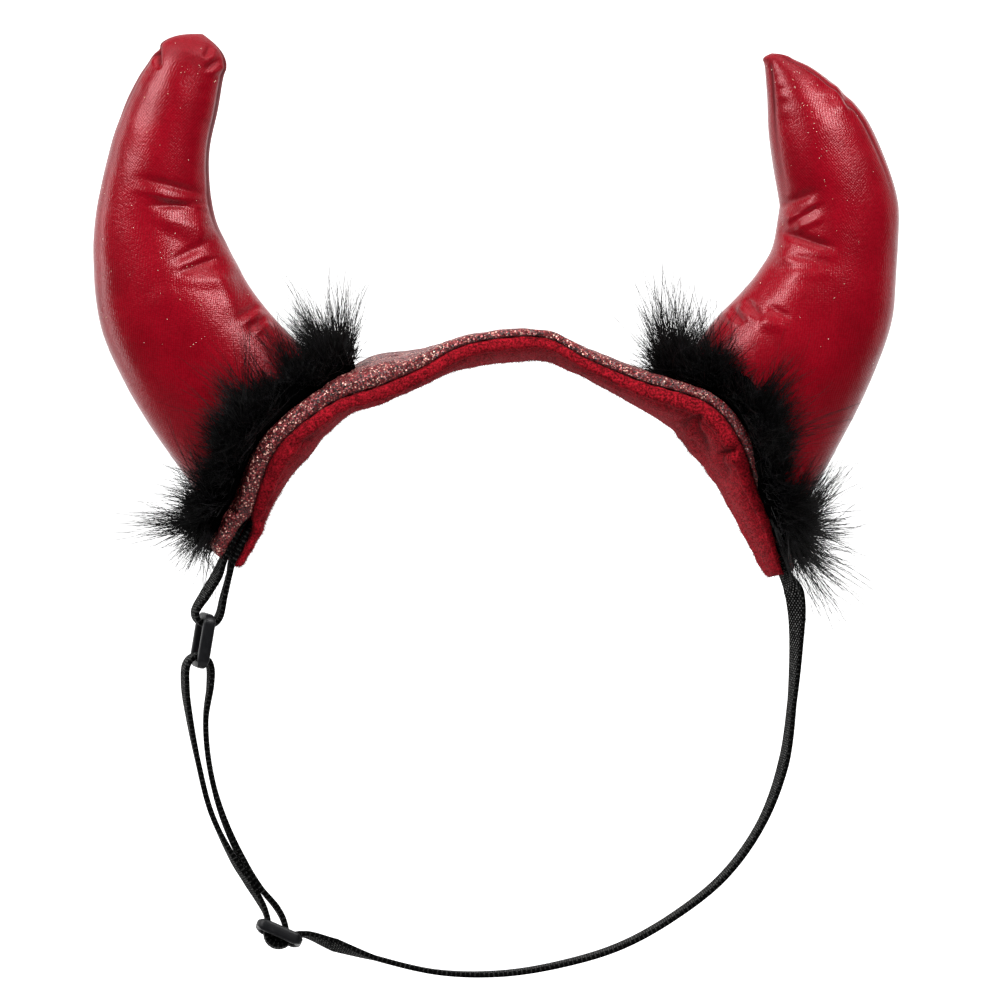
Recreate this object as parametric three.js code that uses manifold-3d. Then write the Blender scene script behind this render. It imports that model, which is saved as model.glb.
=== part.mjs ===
// Devil-horn headpiece for a dog: a padded headband with a glitter cover and a fleece lining, two stuffed
// leatherette horns with a ring of marabou feather round each base, and an adjustable flat elastic chin strap.
// Millimetres, +Z up, the wearer faces -Y. The origin is the underside of the headband at the top of its arch.
import * as THREE from 'three';
import { mergeVertices } from 'three/addons/utils/BufferGeometryUtils.js';
import Module from 'manifold-3d';

const wasm = await Module();
wasm.setup();

// Driving dimensions
const CLEARANCE = 0.3;
const ELASTIC = { width: 6.35, thick: 1.1 };

// Headband. Each row is a section of the padded strip, from the left end over the top to the right end:
// x and z place the seam along its front edge, roll (degrees) tips the back edge outwards, depth is the strip's
// width from front to back, cover and lining are how far each face swells, and gap parts them round the elastic.
const HEADBAND = {
  edge: 0.6,
  fullness: 3,
  ringsPerSection: 2,
  steps: 10,
  sections: [
    { x: -70.9, z: -53.5, roll: 13, depth: 15, cover: 3.2, lining: 2.0, gap: 3.9 },
    { x: -65.9, z: -44.7, roll: 10, depth: 20, cover: 4.7, lining: 2.7, gap: 3.3 },
    { x: -63.9, z: -39.4, roll: 6, depth: 25, cover: 4.8, lining: 3.8, gap: 0.8 },
    { x: -62.2, z: -33.8, roll: 3, depth: 30, cover: 4.8, lining: 4.9, gap: 0.3 },
    { x: -58.9, z: -25.7, roll: 1, depth: 36, cover: 4.8, lining: 6.0, gap: 0.3 },
    { x: -53.4, z: -19.1, roll: 0, depth: 38, cover: 4.8, lining: 5.7, gap: 0.3 },
    { x: -42.3, z: -11.4, roll: 2, depth: 38, cover: 4.7, lining: 4.3, gap: 0.3 },
    { x: -31.0, z: -7.5, roll: 8, depth: 36, cover: 4.6, lining: 4.9, gap: 0.3 },
    { x: -20.5, z: -2.9, roll: 6, depth: 34, cover: 3.2, lining: 4.6, gap: 0.3 },
    { x: -9.4, z: 3.2, roll: -1, depth: 32, cover: 2.0, lining: 4.4, gap: 0.3 },
    { x: 3.8, z: 5.6, roll: -3, depth: 32, cover: 1.8, lining: 4.2, gap: 0.3 },
    { x: 13.9, z: 5.0, roll: -3, depth: 32, cover: 1.8, lining: 3.6, gap: 0.3 },
    { x: 23.7, z: -0.3, roll: 0, depth: 34, cover: 2.2, lining: 3.4, gap: 0.3 },
    { x: 37.8, z: -6.1, roll: -1, depth: 36, cover: 2.6, lining: 4.8, gap: 0.3 },
    { x: 55.0, z: -11.7, roll: -9, depth: 38, cover: 2.8, lining: 5.8, gap: 0.3 },
    { x: 63.5, z: -21.5, roll: -10, depth: 37, cover: 2.8, lining: 5.6, gap: 0.3 },
    { x: 68.0, z: -33.4, roll: -9, depth: 29, cover: 2.6, lining: 4.4, gap: 0.3 },
    { x: 72.6, z: -45.0, roll: -12, depth: 20, cover: 2.0, lining: 2.6, gap: 2.1 },
    { x: 76.4, z: -56.2, roll: -17, depth: 12.5, cover: 1.6, lining: 0.9, gap: 2.8 },
  ],
  // Puckers in the fleece: at is the section, across runs from the front edge (0) to the back edge (1).
  puckers: [
    { at: 12.4, across: 0.1, sink: 1.6, long: 0.25, wide: 0.5 },
    { at: 14.3, across: 0.45, sink: 1.8, long: 0.2, wide: 0.35 },
    { at: 15.2, across: 0.5, sink: 1.8, long: 0.2, wide: 0.35 },
    { at: 5.6, across: 0.2, sink: 1.4, long: 0.3, wide: 0.4 },
  ],
};

// Horns. Each row is a section across the stuffed horn, from its root in the headband to its tip: outer and inner
// are the two side seams, and depth is its thickness from front to back. Folds are pinched in from the inner seam,
// and trim gives the stations where the feather ring crosses the two seams.
const HORN_LEFT = {
  sections: [
    { outerX: -73.2, outerZ: -43.4, innerX: -39.0, innerZ: -9.4, depth: 31 },
    { outerX: -89.6, outerZ: -21.4, innerX: -56.6, innerZ: 8.5, depth: 33.5 },
    { outerX: -101.2, outerZ: -1.6, innerX: -65.2, innerZ: 19.1, depth: 32.5 },
    { outerX: -105.6, outerZ: 11.1, innerX: -68.8, innerZ: 25.3, depth: 31 },
    { outerX: -106.8, outerZ: 23.9, innerX: -71.8, innerZ: 30.9, depth: 29 },
    { outerX: -106.4, outerZ: 37.1, innerX: -75.1, innerZ: 39.0, depth: 26.5 },
    { outerX: -103.2, outerZ: 56.2, innerX: -76.3, innerZ: 54.3, depth: 23 },
    { outerX: -97.4, outerZ: 71.6, innerX: -74.1, innerZ: 66.3, depth: 20 },
    { outerX: -90.2, outerZ: 82.2, innerX: -72.5, innerZ: 76.3, depth: 15.5 },
  ],
  dome: 7.8,
  trim: { outer: 0.3, inner: 0.6 },
  folds: [
    { at: 5.45, sink: 2.4, long: 0.16, reach: 1.1, slant: 0.1 },
    { at: 5.0, sink: 2.2, long: 0.16, reach: 1.0, slant: -0.1 },
    { at: 4.1, sink: 2.4, long: 0.22, reach: 0.9, slant: -0.6 },
    { at: 2.4, sink: 1.8, long: 0.25, reach: 0.6, slant: -0.5 },
  ],
};
const HORN_RIGHT = {
  sections: [
    { outerX: 74.3, outerZ: -48.4, innerX: 44.7, innerZ: -8.9, depth: 31 },
    { outerX: 88.1, outerZ: -27.3, innerX: 55.8, innerZ: 9.0, depth: 33.5 },
    { outerX: 97.7, outerZ: -7.7, innerX: 65.4, innerZ: 18.6, depth: 33 },
    { outerX: 104.3, outerZ: 8.1, innerX: 70.6, innerZ: 26.0, depth: 31 },
    { outerX: 105.7, outerZ: 21.2, innerX: 72.6, innerZ: 30.5, depth: 29 },
    { outerX: 106.1, outerZ: 33.1, innerX: 73.8, innerZ: 36.6, depth: 27.5 },
    { outerX: 105.6, outerZ: 43.7, innerX: 74.5, innerZ: 42.9, depth: 26.5 },
    { outerX: 100.2, outerZ: 60.1, innerX: 72.1, innerZ: 57.5, depth: 23.5 },
    { outerX: 93.1, outerZ: 70.0, innerX: 71.3, innerZ: 68.1, depth: 18.5 },
    { outerX: 84.1, outerZ: 77.3, innerX: 70.9, innerZ: 74.6, depth: 12 },
    { outerX: 77.8, outerZ: 80.2, innerX: 70.5, innerZ: 79.2, depth: 7 },
  ],
  dome: 2.2,
  trim: { outer: 0.5, inner: 0.66 },
  folds: [
    { at: 6.1, sink: 2.2, long: 0.2, reach: 0.8, slant: -0.15 },
    { at: 4.4, sink: 2.6, long: 0.25, reach: 1.1, slant: -0.8 },
    { at: 3.1, sink: 1.8, long: 0.25, reach: 0.7, slant: -0.5 },
  ],
};
const HORN_SEAM_PINCH = 1.15;
const HORN_RINGS = 32;
const HORN_DOME_RINGS = 4;
const HORN_SIDES = 20;

// Marabou. A tube of down runs round each horn on the headband, and pointed locks stand out of it.
const MARABOU = {
  coreOut: 6.3,
  coreTall: 9,
  stand: 3.8,
  coreSides: 7,
  coreSteps: 30,
  locks: 68,
  lockRadius: 3.2,
  lockSides: 4,
  lockLengths: [8, 11.5, 9.5, 7.5],
  lockTilts: [-38, 45, 6, 72],
  lockSwing: 26,
};

// Plastic fittings on the strap. The ring joins the short loop to the strap, and the slider sets its length.
const RING = {
  x: -77.9, y: -3.6, z: -74.2, slope: -99.4, yaw: 15,
  length: 14.6, width: 12, bar: 2.2, thick: 2.2, round: 1.6,
};
const SLIDER = {
  x: -57.8, y: -2, z: -151.7, slope: -24.1, yaw: 12,
  length: 13, width: 11.4, bar: 1.9, thick: 1.8, round: 1.4,
};
const FITTING_BEVEL = 0.35;
const RING_SLACK = 1.2;
const WRAP_EASE = 0.15;

// Course of the elastic. Each row is a point on its middle line; leanX and leanZ tip its width away from the Y axis.
const STRAP_FALL = [
  { x: 78.2, y: -3.6, z: -61.0, leanX: -1.2, leanZ: 0.2 },
  { x: 79.0, y: -3.0, z: -65.5, leanX: -0.9, leanZ: 0 },
  { x: 79.1, y: -2.2, z: -73.4, leanX: -0.5, leanZ: 0 },
  { x: 78.0, y: -1.2, z: -90.4, leanX: -0.18, leanZ: 0 },
  { x: 75.7, y: -0.5, z: -107.1, leanX: -0.27, leanZ: 0.05 },
  { x: 69.8, y: 0, z: -123.0, leanX: -0.14, leanZ: 0.07 },
  { x: 60.0, y: 0, z: -136.7, leanX: -0.1, leanZ: 0.1 },
  { x: 46.9, y: 0, z: -147.3, leanX: -0.05, leanZ: 0.08 },
  { x: 32.5, y: 0, z: -155.3, leanX: -0.03, leanZ: 0.07 },
  { x: 16.8, y: 0, z: -160.1, leanX: 0, leanZ: 0.04 },
  { x: 0.7, y: -0.2, z: -162.6, leanX: 0, leanZ: 0 },
  { x: -15.8, y: -0.6, z: -162.2, leanX: 0, leanZ: -0.06 },
  { x: -31.9, y: -1.2, z: -158.5, leanX: 0, leanZ: -0.12 },
  { x: -43.0, y: -1.8, z: -154.9, leanX: -0.2, leanZ: -0.6 },
];
const STRAP_RISE = [
  { x: -65.4, y: -2.1, z: -138.9, leanX: -0.3, leanZ: -0.2 },
  { x: -69.6, y: -2.2, z: -132.5, leanX: -0.22, leanZ: -0.14 },
  { x: -75.7, y: -2.5, z: -119.8, leanX: -0.04, leanZ: -0.02 },
  { x: -79.0, y: -2.8, z: -107.1, leanX: -0.1, leanZ: 0 },
  { x: -81.5, y: -3.2, z: -94.3, leanX: -0.2, leanZ: 0 },
  { x: -82.5, y: -3.5, z: -86.5, leanX: -0.28, leanZ: 0.03 },
];
const STRAP_RETURN = [
  { x: -75.9, y: -3.6, z: -86.0, leanX: -0.22, leanZ: 0.03 },
  { x: -77.1, y: -3.3, z: -94.9, leanX: -0.1, leanZ: 0 },
  { x: -76.2, y: -2.8, z: -107.1, leanX: -0.06, leanZ: 0 },
  { x: -73.0, y: -2.5, z: -119.8, leanX: -0.16, leanZ: -0.06 },
  { x: -67.4, y: -2.2, z: -132.5, leanX: -0.22, leanZ: -0.14 },
  { x: -62.8, y: -2.1, z: -139.6, leanX: -0.1, leanZ: -0.1 },
];
const LOOP_LEFT = [
  { x: -74.0, y: -4.2, z: -56.8, leanX: -0.36, leanZ: 0.2 },
  { x: -77.3, y: -3.9, z: -62.2, leanX: -0.36, leanZ: 0.2 },
];
const LOOP_RIGHT = [
  { x: -72.3, y: -3.9, z: -62.5, leanX: -0.2, leanZ: 0.06 },
  { x: -70.9, y: -4.2, z: -57.0, leanX: -0.12, leanZ: 0.06 },
];
const SEWN_LEFT = { sections: [0.95, 0.1], y: -4.4, apart: 0.76 };
const SEWN_RIGHT = { sections: [17.1, 17.9], y: -3.8 };

const MATERIALS = {
  leatherette: { color: 0x8e0d1e, roughness: 0.36, metalness: 0 },
  glitterKnit: { color: 0x93403f, roughness: 0.45, metalness: 0.4 },
  fleece: { color: 0x7c0e1a, roughness: 0.95, metalness: 0 },
  feather: { color: 0x070606, roughness: 0.9, metalness: 0 },
  elastic: { color: 0x161616, roughness: 0.85, metalness: 0 },
  plastic: { color: 0x26262a, roughness: 0.5, metalness: 0 },
};

const Y_AXIS = new THREE.Vector3(0, 1, 0);
const radians = THREE.MathUtils.degToRad;

// Value of one column of a table at a fractional row, on a Catmull-Rom spline through the rows.
function column(rows, name, at) {
  const last = rows.length - 1;
  const i = Math.min(Math.max(Math.floor(at), 0), last - 1);
  const t = at - i;
  const value = (k) => rows[Math.min(Math.max(k, 0), last)][name];
  const [a, b, c, d] = [value(i - 1), value(i), value(i + 1), value(i + 2)];
  return b + 0.5 * t * (c - a + t * (2 * a - 5 * b + 4 * c - d + t * (3 * (b - c) + d - a)));
}

// Smooth bump, 1 at the middle and 0.02 two widths away.
const bump = (x, width) => Math.exp(-((x / width) ** 2));

// Closed surface through rings of points, with a fan of triangles over each end.
function loft(rings) {
  const sides = rings[0].length;
  const points = rings.flat();
  const faces = [];
  for (let r = 0; r + 1 < rings.length; r++) {
    for (let s = 0; s < sides; s++) {
      const a = r * sides + s;
      const b = r * sides + ((s + 1) % sides);
      faces.push(a, b, b + sides, a, b + sides, a + sides);
    }
  }
  const cap = (ring, start, turned) => {
    const middle = new THREE.Vector3();
    ring.forEach((p) => middle.addScaledVector(p, 1 / sides));
    const hub = points.push(middle) - 1;
    for (let s = 0; s < sides; s++) {
      const [a, b] = [start + s, start + ((s + 1) % sides)];
      faces.push(hub, ...(turned ? [b, a] : [a, b]));
    }
  };
  cap(rings[0], 0, true);
  cap(rings[rings.length - 1], (rings.length - 1) * sides, false);
  return facingOut(new THREE.BufferGeometry().setFromPoints(points).setIndex(faces));
}

// Turns a closed geometry round if its faces point inwards.
function facingOut(geometry) {
  const p = geometry.attributes.position;
  const index = geometry.index.array;
  const [a, b, c] = [new THREE.Vector3(), new THREE.Vector3(), new THREE.Vector3()];
  let volume = 0;
  for (let i = 0; i < index.length; i += 3) {
    [a, b, c].forEach((v, k) => v.fromBufferAttribute(p, index[i + k]));
    volume += a.dot(b.cross(c));
  }
  if (volume < 0) geometry.index.array.reverse();
  return geometry;
}

// A closed geometry as a solid for cutting and joining.
function solidOf(geometry) {
  const bare = geometry.clone();
  bare.deleteAttribute('normal');
  bare.deleteAttribute('uv');
  const merged = mergeVertices(bare, 1e-4);
  const made = new wasm.Manifold(
    new wasm.Mesh({
      numProp: 3,
      vertProperties: new Float32Array(merged.attributes.position.array),
      triVerts: new Uint32Array(merged.index.array),
    }),
  );
  if (made.volume() < 0) throw new Error('a surface is inside out');
  return made;
}

// A solid back as a geometry.
function geometryOf(solid) {
  const mesh = solid.getMesh();
  return new THREE.BufferGeometry()
    .setAttribute('position', new THREE.BufferAttribute(new Float32Array(mesh.vertProperties), 3))
    .setIndex(new THREE.BufferAttribute(new Uint32Array(mesh.triVerts), 1));
}

// The largest body of a solid that a cut may have left in pieces.
const largestBody = (solid) => solid.decompose().reduce((a, b) => (b.volume() > a.volume() ? b : a));

// Headband frame at a section: the front seam, the way across to the back edge, and the way out from the head.
function headbandFrame(at) {
  const rows = HEADBAND.sections;
  const place = (k) => new THREE.Vector3(column(rows, 'x', k), 0, column(rows, 'z', k));
  const step = 0.05;
  const low = Math.max(at - step, 0);
  const high = Math.min(at + step, rows.length - 1);
  const along = place(high).sub(place(low)).normalize();
  const out = new THREE.Vector3(-along.z, 0, along.x);
  const roll = radians(column(rows, 'roll', at));
  const depth = column(rows, 'depth', at);
  const across = Y_AXIS.clone().multiplyScalar(Math.cos(roll)).addScaledVector(out, Math.sin(roll));
  const up = out.clone().multiplyScalar(Math.cos(roll)).addScaledVector(Y_AXIS, -Math.sin(roll));
  const front = place(at);
  front.y = -0.5 * depth * Math.cos(roll);
  return { front, across, up, depth };
}

// Point of the headband: share runs from the front edge (0) to the back edge (1), height is out from the seam.
function headbandPoint(at, share, height) {
  const { front, across, up, depth } = headbandFrame(at);
  return front.clone().addScaledVector(across, share * depth).addScaledVector(up, height);
}

// How full the padded face is across its width: 0 at both edges and 1 along the middle.
const fullness = (share) => Math.max(0, 1 - Math.abs(2 * share - 1) ** HEADBAND.fullness);

// Outer surface of the cover and inner surface of the lining, measured from the seam.
const coverHeight = (at, share) =>
  0.5 * column(HEADBAND.sections, 'gap', at) + HEADBAND.edge
  + column(HEADBAND.sections, 'cover', at) * fullness(share);
function liningHeight(at, share) {
  const pucker = HEADBAND.puckers.reduce(
    (sum, p) => sum + p.sink * bump(at - p.at, p.long) * bump(share - p.across, p.wide), 0);
  const swell = Math.max(column(HEADBAND.sections, 'lining', at) - pucker, 0.4);
  return -0.5 * column(HEADBAND.sections, 'gap', at) - HEADBAND.edge - swell * fullness(share);
}

// One layer of the headband between an inner and an outer height, with its points at the given shares across.
function headbandLayer(inner, outer, shares) {
  const last = HEADBAND.sections.length - 1;
  const rings = [];
  for (let k = 0; k <= last * HEADBAND.ringsPerSection; k++) {
    const at = k / HEADBAND.ringsPerSection;
    const ring = shares.map((share) => headbandPoint(at, share, outer(at, share)));
    for (const share of [shares.at(-1), 0.5, shares[0]]) ring.push(headbandPoint(at, share, inner(at)));
    rings.push(ring);
  }
  return loft(rings);
}
const SHARES = Array.from({ length: HEADBAND.steps + 1 }, (_, s) => s / HEADBAND.steps);
const halfGap = (at) => 0.5 * column(HEADBAND.sections, 'gap', at);
const headbandCover = () => headbandLayer(halfGap, coverHeight, SHARES);
const headbandLining = () => headbandLayer((at) => -halfGap(at), liningHeight, SHARES);
// What keeps the horns and the feathers off the cover: the cover grown by the clearance, wide and deep. They sit on
// its crown and leave its rounded edges bare, so this is fuller than the cover at the edges.
const KEEP_OUT = { deep: 22, beyond: 0.5, crown: 0.9 };
const crownHeight = (at, share) => coverHeight(at, share) + CLEARANCE
  + column(HEADBAND.sections, 'cover', at) * Math.max(KEEP_OUT.crown - fullness(share), 0);
const headbandKeepOut = solidOf(headbandLayer(
  () => -KEEP_OUT.deep, crownHeight, [-KEEP_OUT.beyond, ...SHARES, 1 + KEEP_OUT.beyond]));

// Section of a horn at a station: its middle, half its width as a vector, its half depth, and a scale at the tip.
function hornSection(horn, station) {
  const rows = horn.sections;
  const pick = (name) => column(rows, name, station);
  const outer = new THREE.Vector3(pick('outerX'), 0, pick('outerZ'));
  const inner = new THREE.Vector3(pick('innerX'), 0, pick('innerZ'));
  const middle = outer.clone().add(inner).multiplyScalar(0.5);
  return { middle, half: outer.sub(middle), halfDepth: 0.5 * pick('depth') };
}

// How far the folds pull a horn's side in, at a station and a place across from the outer (1) to the inner seam (-1).
function foldSink(horn, station, across) {
  const fromInner = 0.5 * (1 + across);
  return horn.folds.reduce((sum, fold) => {
    const offset = station - fold.at - fold.slant * fromInner;
    return sum + fold.sink * bump(offset, fold.long) * bump(fromInner - 0.12, 0.4 * fold.reach);
  }, 0);
}

// Ring of points round a horn. Its two panels meet in a pinched seam on each side; grow swells it evenly.
function hornRing(section, sinkAt, scale, grow) {
  const { middle, half, halfDepth } = section;
  const width = half.length();
  const side = half.clone().normalize();
  return Array.from({ length: HORN_SIDES }, (_, s) => {
    const angle = (2 * Math.PI * s) / HORN_SIDES;
    const across = Math.cos(angle);
    const proud = Math.sign(Math.sin(angle)) * Math.abs(Math.sin(angle)) ** HORN_SEAM_PINCH;
    const sink = sinkAt(across) * Math.abs(proud);
    return middle.clone()
      .addScaledVector(side, across * (width * scale + grow))
      .addScaledVector(Y_AXIS, proud * Math.max(halfDepth * scale - sink + grow, 0.2));
  });
}

// The stuffed horn, closed at its tip by a dome.
function hornShape(horn, grow = 0) {
  const last = horn.sections.length - 1;
  const rings = [];
  for (let k = 0; k <= HORN_RINGS; k++) {
    const station = (last * k) / HORN_RINGS;
    rings.push(hornRing(hornSection(horn, station), (a) => foldSink(horn, station, a), 1, grow));
  }
  const root = hornSection(horn, 0.2).middle.sub(hornSection(horn, 0).middle).normalize();
  rings[0].forEach((point) => point.addScaledVector(root, -grow));
  const tip = hornSection(horn, last);
  const along = tip.middle.clone().sub(hornSection(horn, last - 0.4).middle).normalize();
  for (let k = 1; k <= HORN_DOME_RINGS; k++) {
    const angle = radians((84 * k) / HORN_DOME_RINGS);
    const middle = tip.middle.clone().addScaledVector(along, (horn.dome + grow) * Math.sin(angle));
    rings.push(hornRing({ ...tip, middle }, () => 0, Math.cos(angle), grow * Math.cos(angle)));
  }
  return loft(rings);
}

// The ring of marabou round a horn's root: a tube of down with pointed locks, cut clear of horn, cover and strap.
function marabou(horn, keepOut) {
  const { coreOut, coreTall, coreSteps, coreSides, locks, stand } = MARABOU;
  const { trim } = horn;
  const sectionAt = (turn) => {
    const share = 0.5 * (1 + Math.cos(turn));
    return hornSection(horn, trim.inner + share * (trim.outer - trim.inner));
  };
  const axis = hornSection(horn, 1).middle.sub(hornSection(horn, 0).middle).normalize();
  const coreAt = (turn) => {
    const { middle, half, halfDepth } = sectionAt(turn);
    const side = half.clone().normalize();
    return middle.addScaledVector(side, (half.length() + stand) * Math.cos(turn))
      .addScaledVector(Y_AXIS, (halfDepth + stand) * Math.sin(turn));
  };
  const outAt = (turn) => {
    const { half, halfDepth } = sectionAt(turn);
    return half.clone().normalize().multiplyScalar(Math.cos(turn) / half.length())
      .addScaledVector(Y_AXIS, Math.sin(turn) / halfDepth).normalize();
  };
  const tube = [];
  for (let k = 0; k < coreSteps; k++) {
    const turn = (2 * Math.PI * k) / coreSteps;
    tube.push(Array.from({ length: coreSides }, (_, s) => {
      const angle = (2 * Math.PI * s) / coreSides;
      return coreAt(turn)
        .addScaledVector(outAt(turn), coreOut * Math.cos(angle))
        .addScaledVector(axis, coreTall * Math.sin(angle));
    }));
  }
  let solid = solidOf(closedTube(tube));
  for (let k = 0; k < locks; k++) {
    const turn = (2 * Math.PI * k) / locks;
    const tilt = radians(MARABOU.lockTilts[k % MARABOU.lockTilts.length]);
    const swing = radians(MARABOU.lockSwing * Math.sin(2.4 * k));
    const out = outAt(turn);
    const round = new THREE.Vector3().crossVectors(axis, out).normalize();
    const way = out.clone().multiplyScalar(Math.cos(tilt)).addScaledVector(axis, Math.sin(tilt))
      .addScaledVector(round, Math.tan(swing)).normalize();
    const length = MARABOU.lockLengths[(3 * k) % MARABOU.lockLengths.length] + coreOut;
    const cone = new THREE.ConeGeometry(MARABOU.lockRadius, length, MARABOU.lockSides);
    cone.translate(0, 0.5 * length, 0);
    cone.applyQuaternion(new THREE.Quaternion().setFromUnitVectors(Y_AXIS, way));
    cone.translate(...coreAt(turn).toArray());
    solid = solid.add(solidOf(cone));
  }
  return geometryOf(largestBody(keepOut.reduce((left, cut) => left.subtract(cut), solid)));
}

// Tube through rings that close on themselves.
function closedTube(rings) {
  const sides = rings[0].length;
  const faces = [];
  for (let r = 0; r < rings.length; r++) {
    const next = (r + 1) % rings.length;
    for (let s = 0; s < sides; s++) {
      const t = (s + 1) % sides;
      const [a, b, c, d] = [r * sides + s, r * sides + t, next * sides + t, next * sides + s];
      faces.push(a, b, c, a, c, d);
    }
  }
  return facingOut(new THREE.BufferGeometry().setFromPoints(rings.flat()).setIndex(faces));
}

// Axes of a plastic fitting: along it, square to its face, and along its bars.
function fittingAxes(fitting) {
  const slope = radians(fitting.slope);
  const yaw = radians(fitting.yaw);
  const along = new THREE.Vector3(Math.cos(slope), 0, Math.sin(slope));
  const flat = new THREE.Vector3(-along.z, 0, along.x);
  const bars = Y_AXIS.clone().multiplyScalar(Math.cos(yaw)).addScaledVector(flat, -Math.sin(yaw));
  const face = new THREE.Vector3().crossVectors(along, bars).normalize();
  return { along, bars, face, middle: new THREE.Vector3(fitting.x, fitting.y, fitting.z) };
}

// A moulded fitting: a rounded frame with one slot for the ring, or two with a middle bar for the slider.
function fittingShape(fitting, slots) {
  const { length, width, bar, thick, round } = fitting;
  const [outerLong, outerWide] = [length - 2 * FITTING_BEVEL, width - 2 * FITTING_BEVEL];
  const frame = roundedRectangle(new THREE.Shape(), 0, outerLong, outerWide, round);
  const slotLength = (length - (slots + 1) * bar) / slots;
  for (let k = 0; k < slots; k++) {
    const middle = (k - 0.5 * (slots - 1)) * (slotLength + bar);
    const [long, wide] = [slotLength + 2 * FITTING_BEVEL, width - 2 * bar + 2 * FITTING_BEVEL];
    frame.holes.push(roundedRectangle(new THREE.Path(), middle, long, wide, 2 * FITTING_BEVEL));
  }
  const geometry = new THREE.ExtrudeGeometry(frame, {
    depth: thick - 2 * FITTING_BEVEL, bevelThickness: FITTING_BEVEL, bevelSize: FITTING_BEVEL,
    bevelSegments: 1, curveSegments: 2, steps: 1,
  });
  geometry.translate(0, 0, -0.5 * thick + FITTING_BEVEL);
  const { along, bars, face, middle } = fittingAxes(fitting);
  geometry.applyMatrix4(new THREE.Matrix4().makeBasis(along, bars, face).setPosition(middle));
  return geometryOf(solidOf(geometry));
}

// Outline of a rectangle with round corners, its middle at x.
function roundedRectangle(path, x, length, width, radius) {
  const [right, top] = [0.5 * length - radius, 0.5 * width - radius];
  const corners = [[right, top], [-right, top], [-right, -top], [right, -top]];
  corners.forEach(([cx, cy], k) => path.absarc(x + cx, cy, radius, 0.5 * Math.PI * k, 0.5 * Math.PI * (k + 1)));
  path.closePath();
  return path;
}

// A point of the elastic's course given in a fitting's own frame: along it and out from its face.
function inFitting(fitting, along, out) {
  const axes = fittingAxes(fitting);
  return {
    point: axes.middle.clone().addScaledVector(axes.along, along).addScaledVector(axes.face, out),
    width: axes.bars,
  };
}
const free = ({ x, y, z, leanX, leanZ }) => ({
  point: new THREE.Vector3(x, y, z),
  width: new THREE.Vector3(leanX, 1, leanZ).normalize(),
});
// A point of the elastic sewn in between the headband's two faces.
function sewn(at, y, height) {
  const { front, across, depth } = headbandFrame(at);
  return { point: headbandPoint(at, (y - front.y) / (depth * across.y), height), width: across };
}

// Flat elastic swept along a course of points, turning with the width given at each.
function elastic(course) {
  const curve = new THREE.CatmullRomCurve3(course.map((c) => c.point), false, 'centripetal');
  const spans = course.length - 1;
  const rings = [];
  const addRing = (t) => {
    const at = Math.min(t * spans, spans - 1e-9);
    const k = Math.floor(at);
    const tangent = curve.getTangent(t);
    const width = course[k].width.clone().lerp(course[k + 1].width, at - k);
    width.addScaledVector(tangent, -width.dot(tangent)).normalize();
    const thick = new THREE.Vector3().crossVectors(tangent, width);
    const middle = curve.getPoint(t);
    rings.push([[1, 1], [-1, 1], [-1, -1], [1, -1]].map(([w, h]) => middle.clone()
      .addScaledVector(width, 0.5 * w * ELASTIC.width)
      .addScaledVector(thick, 0.5 * h * ELASTIC.thick)));
  };
  course.slice(0, -1).forEach((c, k) => {
    const steps = Math.min(4, Math.max(2, Math.round(c.point.distanceTo(course[k + 1].point) / 4)));
    for (let s = 0; s < steps; s++) addRing((k + s / steps) / spans);
  });
  addRing(1);
  return loft(rings);
}

// Arc of the elastic's course round a bar: from and to are angles (degrees) in the fitting's own frame.
function wrap(fitting, barAlong, radius, from, to, steps) {
  return Array.from({ length: steps + 1 }, (_, k) => {
    const angle = radians(from + ((to - from) * k) / steps);
    return inFitting(fitting, barAlong + radius * Math.cos(angle), radius * Math.sin(angle));
  });
}

// The strap: out of the right end, round under the chin, through the slider, up through the ring and back to
// the slider's middle bar, where its end is turned round the bar and sewn.
function strapCourse() {
  const ringBar = 0.5 * (RING.length - RING.bar);
  const sliderBar = 0.5 * (SLIDER.length - SLIDER.bar);
  const hug = 0.5 * SLIDER.thick + CLEARANCE + 0.5 * ELASTIC.thick + WRAP_EASE;
  const layer = ELASTIC.thick + CLEARANCE + WRAP_EASE;
  const overRing = 0.5 * RING.thick + CLEARANCE + 0.5 * ELASTIC.thick + WRAP_EASE;
  return [
    ...SEWN_RIGHT.sections.map((at) => sewn(at, SEWN_RIGHT.y, 0)),
    ...STRAP_FALL.map(free),
    inFitting(SLIDER, sliderBar + 0.6, hug + 0.5),
    ...wrap(SLIDER, 0, hug + layer, 10, -190, 6),
    inFitting(SLIDER, -sliderBar + 0.2, hug + 1.5),
    ...STRAP_RISE.map(free),
    ...wrap(RING, ringBar + RING_SLACK, overRing + RING_SLACK, 262, 98, 4),
    ...STRAP_RETURN.map(free),
    inFitting(SLIDER, -3.3, 5.9),
    inFitting(SLIDER, -0.2, 3.5),
    ...wrap(SLIDER, 0, hug, 15, -180, 5),
    inFitting(SLIDER, -hug, 1.3),
  ];
}

// The short loop: both ends are sewn into the left end of the headband, and its fold carries the ring.
function loopCourse() {
  const ringBar = 0.5 * (RING.length - RING.bar);
  const overRing = 0.5 * RING.thick + CLEARANCE + 0.5 * ELASTIC.thick + WRAP_EASE;
  const [deep, mouth] = SEWN_LEFT.sections;
  return [
    sewn(deep, SEWN_LEFT.y, SEWN_LEFT.apart),
    sewn(mouth, SEWN_LEFT.y, SEWN_LEFT.apart),
    ...LOOP_LEFT.map(free),
    ...wrap(RING, -ringBar - RING_SLACK, overRing + RING_SLACK, -82, 82, 4),
    ...LOOP_RIGHT.map(free),
    sewn(mouth, SEWN_LEFT.y, -SEWN_LEFT.apart),
    sewn(deep, SEWN_LEFT.y, -SEWN_LEFT.apart),
  ];
}

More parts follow.
